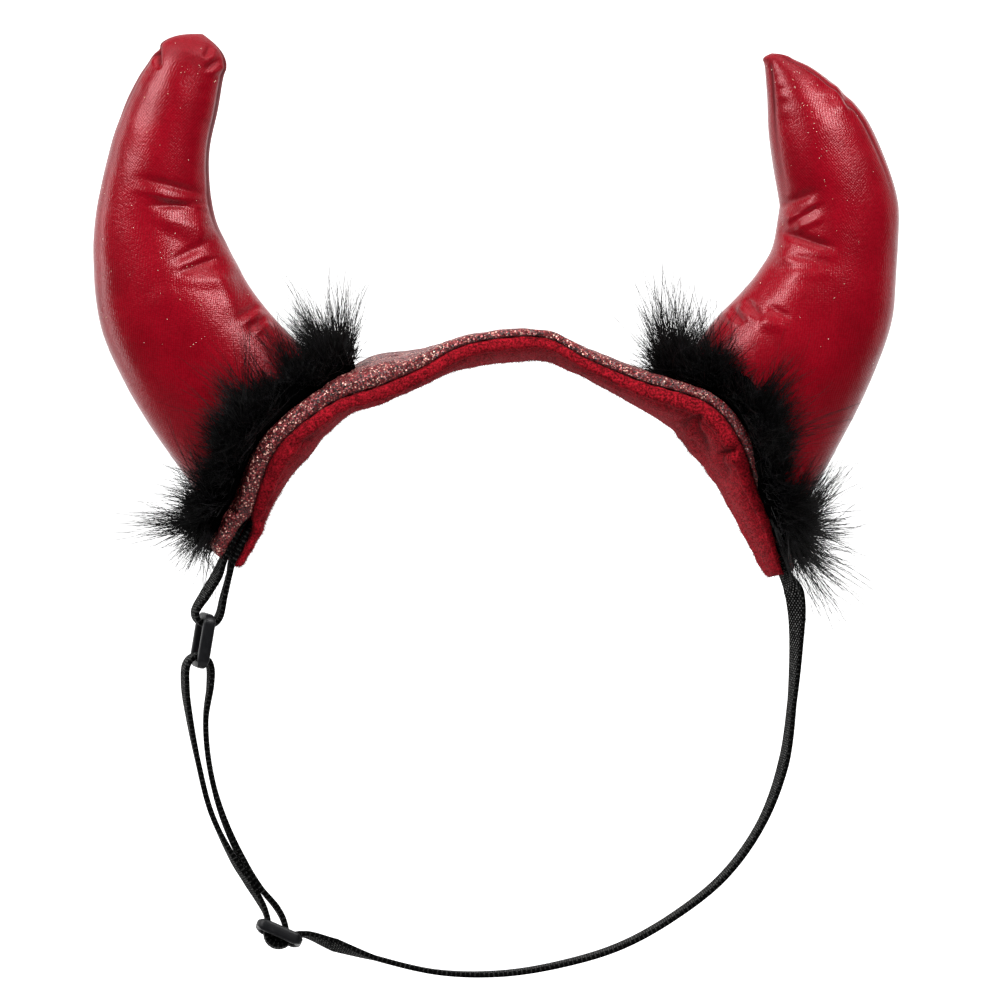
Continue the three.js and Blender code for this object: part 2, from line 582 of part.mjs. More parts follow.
// Assembly
const headpiece = new THREE.Group();
function addPart(name, geometry, finish) {
  const mesh = new THREE.Mesh(geometry, new THREE.MeshStandardMaterial(MATERIALS[finish]));
  mesh.name = name;
  headpiece.add(mesh);
}

const strap = elastic(strapCourse());
const strapLoop = elastic(loopCourse());
addPart('headband_cover', headbandCover(), 'glitterKnit');
addPart('headband_lining', headbandLining(), 'fleece');
for (const [side, horn] of [['left', HORN_LEFT], ['right', HORN_RIGHT]]) {
  const body = largestBody(solidOf(hornShape(horn)).subtract(headbandKeepOut));
  addPart(`horn_${side}`, geometryOf(body), 'leatherette');
  const keepOut = [hornShape(horn, CLEARANCE), strap, strapLoop].map(solidOf);
  addPart(`marabou_${side}`, marabou(horn, [...keepOut, headbandKeepOut]), 'feather');
}
addPart('strap', strap, 'elastic');
addPart('strap_loop', strapLoop, 'elastic');
addPart('strap_ring', fittingShape(RING, 1), 'plastic');
addPart('strap_slider', fittingShape(SLIDER, 2), 'plastic');

export default headpiece;
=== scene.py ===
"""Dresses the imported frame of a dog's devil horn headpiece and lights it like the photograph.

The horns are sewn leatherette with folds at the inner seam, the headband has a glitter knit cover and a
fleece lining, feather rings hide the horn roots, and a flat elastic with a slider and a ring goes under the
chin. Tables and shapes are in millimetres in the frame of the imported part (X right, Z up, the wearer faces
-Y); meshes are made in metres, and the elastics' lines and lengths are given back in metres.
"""

from __future__ import annotations

import logging
import math
from dataclasses import dataclass
from enum import Enum
from typing import ClassVar

import bpy
import numpy as np
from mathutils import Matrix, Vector

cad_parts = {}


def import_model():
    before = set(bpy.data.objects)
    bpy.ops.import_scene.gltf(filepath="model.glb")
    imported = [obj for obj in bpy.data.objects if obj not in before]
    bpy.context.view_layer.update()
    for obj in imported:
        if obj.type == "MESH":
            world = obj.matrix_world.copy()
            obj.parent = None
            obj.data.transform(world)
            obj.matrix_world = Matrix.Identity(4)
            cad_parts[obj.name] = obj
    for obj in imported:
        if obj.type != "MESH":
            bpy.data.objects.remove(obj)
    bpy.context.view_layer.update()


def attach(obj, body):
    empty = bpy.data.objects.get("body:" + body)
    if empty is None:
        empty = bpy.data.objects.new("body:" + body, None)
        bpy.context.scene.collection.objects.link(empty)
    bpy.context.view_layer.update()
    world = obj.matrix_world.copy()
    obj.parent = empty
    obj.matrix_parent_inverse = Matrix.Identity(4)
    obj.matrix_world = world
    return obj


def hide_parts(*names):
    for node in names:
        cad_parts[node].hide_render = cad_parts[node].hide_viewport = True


Array = np.ndarray
Colour = tuple[float, float, float]
Rows = tuple[tuple[float, ...], ...]

LOG = logging.getLogger("devil_horns")
MM = 0.001
XZ = [0, 2]
Y_AXIS = np.array([0.0, 1.0, 0.0])
ROOT_BODY = "root"


def unit(vectors: Array) -> Array:
    """Vectors scaled to length one along the last axis."""
    return vectors / np.maximum(np.linalg.norm(vectors, axis=-1, keepdims=True), 1e-12)


def dot(a: Array, b: Array) -> Array:
    """Dot products along the last axis."""
    return np.einsum("...i,...i->...", a, b)


def bell(offset: Array, width: Array | float) -> Array:
    """exp(-(offset / width)^2), one at the middle and near nothing two widths away."""
    return np.exp(-((offset / width) ** 2))


def ease(low: float, high: float, value: Array) -> Array:
    """Smooth step 3 t^2 - 2 t^3 with t running from 0 at low to 1 at high."""
    t = np.clip((value - low) / (high - low), 0.0, 1.0)
    return t * t * (3.0 - 2.0 * t)


def power(value: Array, exponent: float) -> Array:
    """sign(v) |v|^exponent, the superellipse's coordinate."""
    return np.sign(value) * np.abs(value) ** exponent


def smooth_rows(rows: Array, at: Array) -> Array:
    """Uniform Catmull-Rom curve through table rows.

    Args:
        rows: one row of values per station.
        at: stations of any shape; they stop at the table's ends.

    Returns:
        The interpolated row at each station, on the last axis.
    """
    last = len(rows) - 1
    at = np.clip(np.asarray(at, float), 0.0, last)
    low = np.minimum(at.astype(int), last - 1)
    t = (at - low)[..., None]
    a, b, c, d = (rows[np.clip(low + k, 0, last)] for k in (-1, 0, 1, 2))
    return 0.5 * (2 * b + (c - a) * t + (2 * a - 5 * b + 4 * c - d) * t**2 + (3 * b - a - 3 * c + d) * t**3)


def ripple(points: Array, wave: float, seed: int, count: int = 14) -> Array:
    """Soft random relief: sin(k.p + phase) added up over random directions k and scaled to one height.

    Args:
        points: positions on the last axis, in mm.
        wave: wavelength in mm, about which the waves' own lengths vary.
        seed: seed of the directions, lengths and phases.
        count: number of waves that are added.

    Returns:
        Relief of about -1 to 1 at each point, 0.6 in the root mean square.
    """
    height = 0.6
    rng = np.random.default_rng(seed)
    waves = unit(rng.normal(size=(count, 3))) * (2 * np.pi / wave) * rng.uniform(0.7, 1.4, (count, 1))
    phase = rng.uniform(0, 2 * np.pi, count)
    return np.sin(points @ waves.T + phase).sum(-1) / math.sqrt(0.5 * count) * height


@dataclass(frozen=True)
class Fold:
    """A fold that runs in from a sewn edge: a furrow with a slope under it that faces up.

    Attributes:
        x0, z0: where it starts at the edge, in mm.
        x1, z1: where it ends in the panel, in mm.
        sink, wide: depth and half width of the furrow, in mm.
        slope: steepness of the slope.
        ramp0, ramp1: length of the slope at the fold's start and end, in mm.
        fall: where the slope has sunk back again, in lengths of the slope.
        SOFT: how much the ends of the slope are softened, as a share of its length.
        ASIDE: distance of the furrow above the fold's line, in half widths.
        MARKED: half width of the furrow's mark, as a share of the furrow's.
    """

    x0: float
    z0: float
    x1: float
    z1: float
    sink: float
    wide: float
    slope: float
    ramp0: float
    ramp1: float
    fall: float
    SOFT: ClassVar[float] = 0.1
    ASIDE: ClassVar[float] = 0.8
    MARKED: ClassVar[float] = 0.6

    def relief(self, points: Array) -> tuple[Array, Array]:
        """Height over the smooth panel and nearness to the furrow.

        With s the distance below the fold's line, t the share of its length, b = ramp0 + t (ramp1 - ramp0)
        and q = s / b, the height is
        fade(t) (slope b facet(q) (1 - ease(1, fall, q)) - sink bell(s + ASIDE wide, wide)), where facet(q)
        runs straight from 0 to 1 with softened ends,
        SOFT (ln(1 + e^(q / SOFT)) - ln(1 + e^((q - 1) / SOFT))).

        Args:
            points: positions on the last axis, in mm.

        Returns:
            Height in mm and nearness of 0 to 1, with the shape of points less its last axis.
        """
        run = np.array([self.x1 - self.x0, self.z1 - self.z0])
        length = float(np.hypot(*run))
        along = run / length
        below = np.array([along[1], -along[0]]) * (1.0 if along[0] >= 0 else -1.0)
        offset = points[..., XZ] - np.array([self.x0, self.z0])
        t, s = offset @ along / length, offset @ below
        ramp = self.ramp0 + (self.ramp1 - self.ramp0) * np.clip(t, 0.0, 1.0)
        fade = ease(-0.05, 0.22, t) * (1 - ease(0.6, 1.05, t))
        q = s / ramp
        facet = self.SOFT * (np.logaddexp(0.0, q / self.SOFT) - np.logaddexp(0.0, (q - 1) / self.SOFT))
        rise = self.slope * ramp * facet * (1 - ease(1.0, self.fall, q))
        aside = s + self.ASIDE * self.wide
        height = fade * (rise - self.sink * bell(aside, self.wide))
        return height, fade * min(self.sink, 1.0) * bell(aside, self.MARKED * self.wide)


def fold_relief(points: Array, rows: Rows) -> tuple[Array, Array]:
    """Heights of folds added up, and nearness to the nearest furrow.

    Args:
        points: positions on the last axis, in mm.
        rows: the values of each Fold.

    Returns:
        Height in mm and nearness of 0 to 1, with the shape of points less its last axis.
    """
    relief, furrow = np.zeros(points.shape[:-1]), np.zeros(points.shape[:-1])
    for row in rows:
        height, near = Fold(*row).relief(points)
        relief += height
        furrow = np.maximum(furrow, near)
    return relief, furrow


def arc_length(points: Array) -> Array:
    """Length of a line of points up to each of them."""
    return np.cumsum(np.r_[0.0, np.linalg.norm(np.diff(points, axis=0), axis=-1)])


def tube_normals(rings: Array) -> Array:
    """Unit outward normals of a tube, from central differences along and around it.

    Args:
        rings: rows by corners by 3.

    Returns:
        The normals, in the shape of rings.
    """
    around = np.roll(rings, -1, axis=1) - np.roll(rings, 1, axis=1)
    normals = unit(np.cross(np.gradient(rings, axis=0), around))
    spoke = rings - rings.mean(1, keepdims=True)
    return normals * np.sign(np.einsum("ijk,ijk->", spoke, normals))


@dataclass
class Skin:
    """Points and faces of one piece before it becomes a mesh.

    Attributes:
        points: positions in mm.
        faces: one array of corner indices for each corner count.
        uv: texture place of each point in mm, or None.
    """

    points: Array
    faces: list[Array]
    uv: Array | None = None

    @classmethod
    def tube(cls, rings: Array, uv: Array | None = None) -> Skin:
        """A closed tube through rings of points, with flat ends.

        Args:
            rings: rows by corners by 3, in mm.
            uv: rows by corners by 2, in mm.

        Returns:
            The tube with its faces turned to the outside.
        """
        rows, corners = rings.shape[:2]
        index = np.arange(rows * corners).reshape(rows, corners)
        ahead = np.roll(index, -1, axis=1)
        sides = np.stack([index[:-1], ahead[:-1], ahead[1:], index[1:]], -1).reshape(-1, 4)
        ends = np.stack([index[0][::-1], index[-1]])
        return cls(rings.reshape(-1, 3), [sides, ends], None if uv is None else uv.reshape(-1, 2)).outward()

    def outward(self) -> Skin:
        """Turns the faces to the outside, by the sign of the volume that they enclose.

        Returns:
            This skin.
        """
        volume = 0.0
        for face in self.faces:
            a = self.points[face[:, 0]]
            for k in range(1, face.shape[1] - 1):
                b, c = self.points[face[:, k]], self.points[face[:, k + 1]]
                volume += float(dot(a, np.cross(b, c)).sum())
        if volume < 0:
            self.faces = [face[:, ::-1] for face in self.faces]
        return self

    def joined(self, other: Skin) -> Skin:
        """This skin and another as one, without texture places."""
        moved = [face + len(self.points) for face in other.faces]
        return Skin(np.concatenate([self.points, other.points]), self.faces + moved)

    def piece(
        self, name: str, material: bpy.types.Material, marks: dict[str, Array] | None = None
    ) -> bpy.types.Object:
        """Makes the mesh object that rides on the frame's body.

        Args:
            name: the piece's name.
            material: its finish.
            marks: named values per point that the finish reads.

        Returns:
            The linked object.
        """
        mesh = bpy.data.meshes.new(name)
        mesh.vertices.add(len(self.points))
        mesh.vertices.foreach_set("co", (self.points * MM).astype(np.float32).ravel())
        corners = np.concatenate([face.ravel() for face in self.faces]).astype(np.int32)
        counts = np.concatenate([np.full(len(face), face.shape[1]) for face in self.faces])
        mesh.loops.add(len(corners))
        mesh.loops.foreach_set("vertex_index", corners)
        mesh.polygons.add(len(counts))
        mesh.polygons.foreach_set("loop_start", (np.cumsum(counts) - counts).astype(np.int32))
        if self.uv is not None:
            layer = mesh.uv_layers.new(name="cloth")
            layer.data.foreach_set("uv", self.uv[corners].astype(np.float32).ravel())
        for mark, values in (marks or {}).items():
            layer = mesh.attributes.new(mark, "FLOAT", "POINT")
            layer.data.foreach_set("value", values.astype(np.float32).ravel())
        mesh.update(calc_edges=True)
        mesh.polygons.foreach_set("use_smooth", np.ones(len(counts), bool))
        mesh.materials.append(material)
        made = bpy.data.objects.new(name, mesh)
        bpy.context.scene.collection.objects.link(made)
        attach(made, ROOT_BODY)
        LOG.info("%s: %d faces", name, len(counts))
        return made


def stand_in(piece: bpy.types.Object, node: str) -> bpy.types.Object:
    """Hides the CAD node that a piece stands in for.

    Args:
        piece: the piece.
        node: the node's name.

    Returns:
        The piece.
    """
    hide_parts(node)
    return piece


class Signal:
    """A shader socket that takes part in arithmetic; each result is the socket of a new maths node."""

    def __init__(self, tree: bpy.types.NodeTree, socket: bpy.types.NodeSocket) -> None:
        """Wraps a socket of that tree."""
        self.tree = tree
        self.socket = socket

    def maths(self, operation: str, *terms: Signal | float) -> Signal:
        """Adds a maths node.

        Args:
            operation: what the node works out.
            terms: signals or numbers for its sockets, in order.

        Returns:
            The node's result.
        """
        node = self.tree.nodes.new("ShaderNodeMath")
        node.operation = operation
        for slot, term in zip(node.inputs, terms):
            feed(self.tree, slot, term)
        return Signal(self.tree, node.outputs[0])

    def __add__(self, other: Signal | float) -> Signal:
        """self + other."""
        return self.maths("ADD", self, other)

    __radd__ = __add__

    def __sub__(self, other: Signal | float) -> Signal:
        """self - other."""
        return self.maths("SUBTRACT", self, other)

    def __rsub__(self, other: float) -> Signal:
        """other - self."""
        return self.maths("SUBTRACT", other, self)

    def __mul__(self, other: Signal | float) -> Signal:
        """self * other."""
        return self.maths("MULTIPLY", self, other)

    __rmul__ = __mul__

    def __truediv__(self, other: Signal | float) -> Signal:
        """self / other."""
        return self.maths("DIVIDE", self, other)

    def __rtruediv__(self, other: float) -> Signal:
        """other / self."""
        return self.maths("DIVIDE", other, self)

    def sine(self) -> Signal:
        """Sine of the value in radians."""
        return self.maths("SINE", self)

    def within(self, low: float = 0.0, high: float = 1.0) -> Signal:
        """The value held between low and high."""
        return self.maths("MINIMUM", self.maths("MAXIMUM", self, low), high)

    def rise(self, low: float, high: float) -> Signal:
        """Smooth step from 0 at low to 1 at high."""
        t = ((self - low) / (high - low)).within()
        return t * t * (3.0 - 2.0 * t)


def feed(tree: bpy.types.NodeTree, slot: bpy.types.NodeSocket, value: Signal | float | tuple) -> None:
    """Links a signal to a socket, or sets the socket to a constant.

    Args:
        tree: the socket's node tree.
        slot: the socket.
        value: what it gets; a colour may leave out its alpha.
    """
    if isinstance(value, Signal):
        tree.links.new(value.socket, slot)
    elif isinstance(value, tuple) and slot.type == "RGBA" and len(value) == 3:
        slot.default_value = (*value, 1.0)
    else:
        slot.default_value = value


class NodeGraph:
    """A node tree that nodes of any type are added to."""

    def __init__(self, tree: bpy.types.NodeTree) -> None:
        """Takes the tree as it is."""
        self.tree = tree

    def node(
        self,
        kind: str,
        settings: dict[str, object] | None = None,
        values: dict[str | int, Signal | float | tuple] | None = None,
        output: str | int = 0,
    ) -> Signal:
        """Adds any node.

        Args:
            kind: the node's type name.
            settings: its properties.
            values: signals or constants for its sockets, by name or number.
            output: which of its outputs is returned.

        Returns:
            That output.
        """
        made = self.tree.nodes.new(kind)
        for key, value in (settings or {}).items():
            setattr(made, key, value)
        for key, value in (values or {}).items():
            feed(self.tree, made.inputs[key], value)
        return Signal(self.tree, made.outputs[output])


class FinishTree(NodeGraph):
    """Node tree of one material round a principled surface."""

    def __init__(self, name: str) -> None:
        """Starts a material with its surface linked to its output.

        Args:
            name: the material's name.
        """
        self.material = bpy.data.materials.new(name)
        self.material.use_nodes = True
        super().__init__(self.material.node_tree)
        self.tree.nodes.clear()
        shader = self.node("ShaderNodeBsdfPrincipled")
        self.surface = shader.socket.node
        feed(self.tree, self.tree.nodes.new("ShaderNodeOutputMaterial").inputs["Surface"], shader)

    def place(self) -> Signal:
        """Place on the piece in metres."""
        return self.node("ShaderNodeTexCoord", output="Object")

    def mark(self, name: str) -> Signal:
        """A value stored on the piece's points."""
        return self.node("ShaderNodeAttribute", {"attribute_name": name}, output="Fac")

    def noise(self, grain: float, detail: float = 3.0, roughness: float = 0.55) -> Signal:
        """Noise of 0 to 1 with a grain given in mm."""
        return self.node("ShaderNodeTexNoise", values={
            "Vector": self.place(), "Scale": 1.0 / (grain * MM), "Detail": detail, "Roughness": roughness})

    def cells(self, grain: float, output: str = "Color") -> Signal:
        """Random cells about grain mm apart; Color is each cell's own, Distance grows from its middle."""
        return self.node("ShaderNodeTexVoronoi", {"feature": "F1"},
                         {"Vector": self.place(), "Scale": 1.0 / (grain * MM)}, output)

    def channels(self, colour: Signal) -> list[Signal]:
        """The three channels of a colour or vector."""
        split = self.node("ShaderNodeSeparateXYZ", values={0: colour}).socket.node
        return [Signal(self.tree, part) for part in split.outputs]

    def blend(self, share: Signal | float, low: Signal | Colour, high: Signal | Colour) -> Signal:
        """Colour low at share 0 and high at share 1."""
        return self.node("ShaderNodeMix", {"data_type": "RGBA"}, {0: share, 6: low, 7: high}, 2)

    def relief(
        self, height: Signal, tall: float, strength: float = 1.0, under: Signal | None = None
    ) -> Signal:
        """Normal of a relief.

        Args:
            height: the relief, whose value of 1 is tall mm.
            tall: that height.
            strength: share of it that shows.
            under: another normal that it is laid over.

        Returns:
            The normal.
        """
        values = {"Height": height, "Distance": tall * MM, "Strength": strength}
        if under is not None:
            values["Normal"] = under
        return self.node("ShaderNodeBump", values=values)

    def dressed(self, **values: Signal | float | tuple) -> bpy.types.Material:
        """Finishes the surface.

        Args:
            values: signals or constants for its sockets, named with underscores for blanks.

        Returns:
            The material.
        """
        for key, value in values.items():
            feed(self.tree, self.surface.inputs[key.replace("_", " ")], value)
        return self.material


@dataclass(frozen=True)
class LeatheretteFinish:
    """Glossy red leatherette with the weave of its backing showing through.

    Attributes:
        red: colour of the panels.
        deep: colour where the skin is thicker.
        groove: colour in the grooves of the weave.
        painted_seam_shade: colour painted in the seam grooves and fold furrows as their shade.
        gleam: tint of its mirror light.
        roughness: of the smooth skin.
        pitch: of the backing's weave, in mm.
        weave: height of the weave, in mm.
        pebble: height of the skin's grain, in mm.
        lacquer: mean share of the clear skin that mirrors sharply.
    """

    red: Colour = (0.26, 0.0015, 0.009)
    deep: Colour = (0.2, 0.001, 0.0065)
    groove: Colour = (0.11, 0.0006, 0.003)
    painted_seam_shade: Colour = (0.03, 0.001, 0.002)
    gleam: Colour = (1.0, 0.42, 0.46)
    roughness: float = 0.27
    pitch: float = 0.75
    weave: float = 0.018
    pebble: float = 0.05
    lacquer: float = 0.04

    def material(self) -> bpy.types.Material:
        """Leatherette that reads the piece's seam and rubbed marks; the seam mark paints shade into the seam
        grooves and fold furrows.

        Returns:
            The material.
        """
        tree = FinishTree("leatherette")
        u, v, _ = tree.channels(tree.node("ShaderNodeTexCoord", output="UV"))
        turn = 2 * math.pi / self.pitch
        drift = 7.0 * tree.noise(3.0)
        weave = ((u + v) * turn + drift).sine() * 0.5 + ((u - v) * (0.83 * turn) + drift).sine() * 0.3
        cloudy = tree.noise(14.0)
        seam = tree.mark("seam")
        pore = tree.cells(0.85 * self.pitch, "Distance")
        skin = tree.relief(1.0 - pore, self.pebble)
        skin = tree.relief(weave, self.weave, under=skin)
        base = tree.blend(cloudy.rise(0.35, 0.7), self.red, self.deep)
        base = tree.blend((0.12 - 0.25 * weave + 0.25 * pore.rise(0.4, 0.7)).within(), base, self.groove)
        # painted shade: the seam mark darkens the seam grooves and the fold furrows towards near-black red
        base = tree.blend(seam * 0.7, base, self.painted_seam_shade)
        rubbed = tree.mark("rubbed")
        dull = self.roughness + 0.12 * (tree.noise(5.0) - 0.5) - 0.08 * weave + seam * 0.5 + rubbed * 0.22
        clear = (self.lacquer + 0.45 * weave - 0.2 * pore.rise(0.35, 0.7) - seam - rubbed).within()
        return tree.dressed(Base_Color=base, Roughness=dull, Normal=skin, Specular_IOR_Level=0.32,
                            Specular_Tint=self.gleam, Coat_Weight=clear, Coat_Roughness=0.18)


@dataclass(frozen=True)
class GlitterKnitFinish:
    """Red knit run through with metallic yarn that glints in specks; besides the light that the specks' tilt
    catches, glints are painted bright on random specks.

    Attributes:
        painted_glint: colour painted on specks of the metallic yarn as their glint.
        gold: colour painted on the brightest specks as sparkle.
        red: colour of the yarn between.
        dark: colour of the gaps, and of the shade painted along the seam.
        grain: distance of the specks in mm.
    """

    painted_glint: Colour = (0.36, 0.06, 0.06)
    gold: Colour = (1.0, 0.55, 0.45)
    red: Colour = (0.17, 0.003, 0.008)
    dark: Colour = (0.01, 0.0005, 0.0007)
    grain: float = 0.36

    def material(self) -> bpy.types.Material:
        """Knit that reads the seam mark; each speck has its own tilt, so that some catch the light, and
        random specks are painted bright as glints whatever their tilt.

        Returns:
            The material.
        """
        tree = FinishTree("glitter_knit")
        speck = tree.cells(self.grain)
        pick, tilt_a, tilt_b = tree.channels(speck)
        patch = tree.noise(7.0)
        seam = tree.mark("seam")
        # painted glints: random specks are coloured pink and gold as if lit, whatever light falls on them;
        # the same specks get a little metal
        painted_glint_specks = (pick + 0.25 * (patch - 0.5)).rise(0.66, 0.72)
        painted_sparkle = (pick + 0.15 * (patch - 0.5)).rise(0.89, 0.93)
        gap = tree.cells(self.grain, "Distance").rise(0.45, 0.8)
        base = tree.blend(tilt_a.rise(0.2, 0.5), self.dark, self.red)
        base = tree.blend(painted_glint_specks, base, self.painted_glint)
        base = tree.blend(painted_sparkle, base, self.gold)
        # painted shade along the cover's seam edge, with the dark gaps between the yarns
        base = tree.blend((gap * 0.8 + seam).within(), base, self.dark)
        lean = tree.node("ShaderNodeVectorMath", {"operation": "MULTIPLY_ADD"},
                         {0: speck, 1: (1.1, 1.1, 1.1), 2: (-0.55, -0.55, -0.55)})
        face = tree.node("ShaderNodeNewGeometry", output="Normal")
        tilted = tree.node("ShaderNodeVectorMath", {"operation": "ADD"}, {0: face, 1: lean})
        normal = tree.node("ShaderNodeVectorMath", {"operation": "NORMALIZE"}, {0: tilted})
        return tree.dressed(Base_Color=base, Metallic=painted_glint_specks * 0.3, Roughness=0.55 - 0.18 * tilt_b,
                            Normal=normal)


@dataclass(frozen=True)
class FleeceFinish:
    """Red brushed fleece with a short nap.

    Attributes:
        light: colour of the nap's tips.
        deep: colour between the tufts.
        painted_seam_shade: colour painted along the seam and in the tucks as their shade.
        sheen: tint of the nap seen from the side.
        grain: size of the tufts in mm.
    """

    light: Colour = (0.5, 0.009, 0.022)
    deep: Colour = (0.05, 0.0004, 0.0015)
    painted_seam_shade: Colour = (0.02, 0.0006, 0.001)
    sheen: Colour = (1.0, 0.3, 0.34)
    grain: float = 0.55

    def material(self) -> bpy.types.Material:
        """Fleece darkened by the piece's seam mark, painted shade along the seam and in the tucks.

        Returns:
            The material.
        """
        tree = FinishTree("fleece")
        tuft = tree.noise(self.grain, 5.0, 0.7)
        brushed = tree.noise(6.0)
        shade = (tuft * 1.05 + brushed * 0.12).rise(0.42, 0.8)
        base = tree.blend(shade, self.deep, self.light)
        # painted shade: the seam mark darkens the seam edge and the tucks
        base = tree.blend((tree.mark("seam") * 0.85).within(), base, self.painted_seam_shade)
        return tree.dressed(Base_Color=base, Roughness=0.92, Normal=tree.relief(tuft, 0.4, 0.8),
                            Specular_IOR_Level=0.1, Sheen_Weight=0.06, Sheen_Roughness=0.4,
                            Sheen_Tint=self.sheen)


@dataclass(frozen=True)
class FeatherFinish:
    """Black marabou down with a dull sheen, partly painted as grey places.

    Attributes:
        name: of the material.
        black: colour of the barbs.
        painted_sheen: grey painted on some places as the sheen of light on them.
        roughness: of the barbs.
        gloss: strength of their mirror light.
    """

    name: str = "marabou"
    black: Colour = (0.0008, 0.0007, 0.0008)
    painted_sheen: Colour = (0.026, 0.025, 0.028)
    roughness: float = 0.4
    gloss: float = 0.16

    def material(self) -> bpy.types.Material:
        """Down with a few places painted grey as sheen.

        Returns:
            The material.
        """
        tree = FinishTree(self.name)
        # painted sheen: noise paints grey places on the black down as if light broke on them
        base = tree.blend(tree.noise(4.0).rise(0.56, 0.8), self.black, self.painted_sheen)
        return tree.dressed(Base_Color=base, Roughness=self.roughness + 0.2 * tree.noise(2.0),
                            Specular_IOR_Level=self.gloss)


@dataclass(frozen=True)
class ElasticFinish:
    """Black woven elastic: ribs along it and picks across.

    Attributes:
        black: colour of the yarn.
        painted_sheen: grey painted on the weave's crests as their glints.
        pick: distance of the picks along it, in mm.
        rib: distance of the ribs across it, in mm.
        smooth: squares of the distances from its middle between which the painted glints end, in mm^2.
    """

    black: Colour = (0.0006, 0.0006, 0.0006)
    painted_sheen: Colour = (0.17, 0.17, 0.165)
    pick: float = 1.25
    rib: float = 1.1
    smooth: tuple[float, float] = (6.0, 9.4)

    def material(self) -> bpy.types.Material:
        """Weave on the strap's length and width in mm.

        Returns:
            The material.
        """
        tree = FinishTree("elastic")
        u, v, _ = tree.channels(tree.node("ShaderNodeTexCoord", output="UV"))
        picks = (u * (2 * math.pi / self.pick)).sine()
        ribs = (v * (2 * math.pi / self.rib)).sine()
        cross = (picks * ribs) * 0.5 + 0.5
        selvage = (v * v).rise(*self.smooth)
        # painted highlight: worn holds grey glints painted on the weave's crests, not wear, fewer towards the
        # edges
        worn = (cross * 0.8 + tree.noise(0.6) * 0.9).rise(1.0, 1.25) * (1.0 - 0.85 * selvage)
        return tree.dressed(Base_Color=tree.blend(worn, self.black, self.painted_sheen), Roughness=0.75 - 0.1 * worn,
                            Normal=tree.relief(cross, 0.12, 0.9), Specular_IOR_Level=0.03)


@dataclass(frozen=True)
class PlasticFinish:
    """Black moulded plastic, a little scuffed.

    Attributes:
        black: its colour.
        scuffed: its colour where it is worn.
        roughness: of clean plastic.
    """

    black: Colour = (0.004, 0.004, 0.005)
    scuffed: Colour = (0.009, 0.009, 0.0105)
    roughness: float = 0.45

    def material(self) -> bpy.types.Material:
        """Plastic with fine scuffs.

        Returns:
            The material.
        """
        tree = FinishTree("plastic")
        scuff = tree.noise(1.5, 5.0)
        base = tree.blend(scuff.rise(0.5, 0.8), self.black, self.scuffed)
        return tree.dressed(Base_Color=base, Roughness=self.roughness + 0.25 * (scuff - 0.5),
                            Normal=tree.relief(scuff, 0.02), Specular_IOR_Level=0.22)


@dataclass(frozen=True)
class FleckFinish:
    """Loose specks of gold glitter.

    Attributes:
        gold: their colour.
        pale: colour that some of them turn to.
    """

    gold: Colour = (0.95, 0.7, 0.34)
    pale: Colour = (0.95, 0.9, 0.85)

    def material(self) -> bpy.types.Material:
        """Specks of slightly different gold.

        Returns:
            The material.
        """
        tree = FinishTree("fleck")
        base = tree.blend(tree.cells(1.0, "Distance"), self.gold, self.pale)
        return tree.dressed(Base_Color=base, Metallic=0.2, Roughness=0.25 + 0.2 * tree.noise(1.0))


@dataclass(frozen=True)
class BandFrame:
    """Local axes and sizes of the headband at some stations.

    Attributes:
        front: the seam's front edge.
        across: direction from front to back.
        up: direction out of the head.
        depth, cover, lining, gap: sizes there, in mm.
    """

    front: Array
    across: Array
    up: Array
    depth: Array
    cover: Array
    lining: Array
    gap: Array


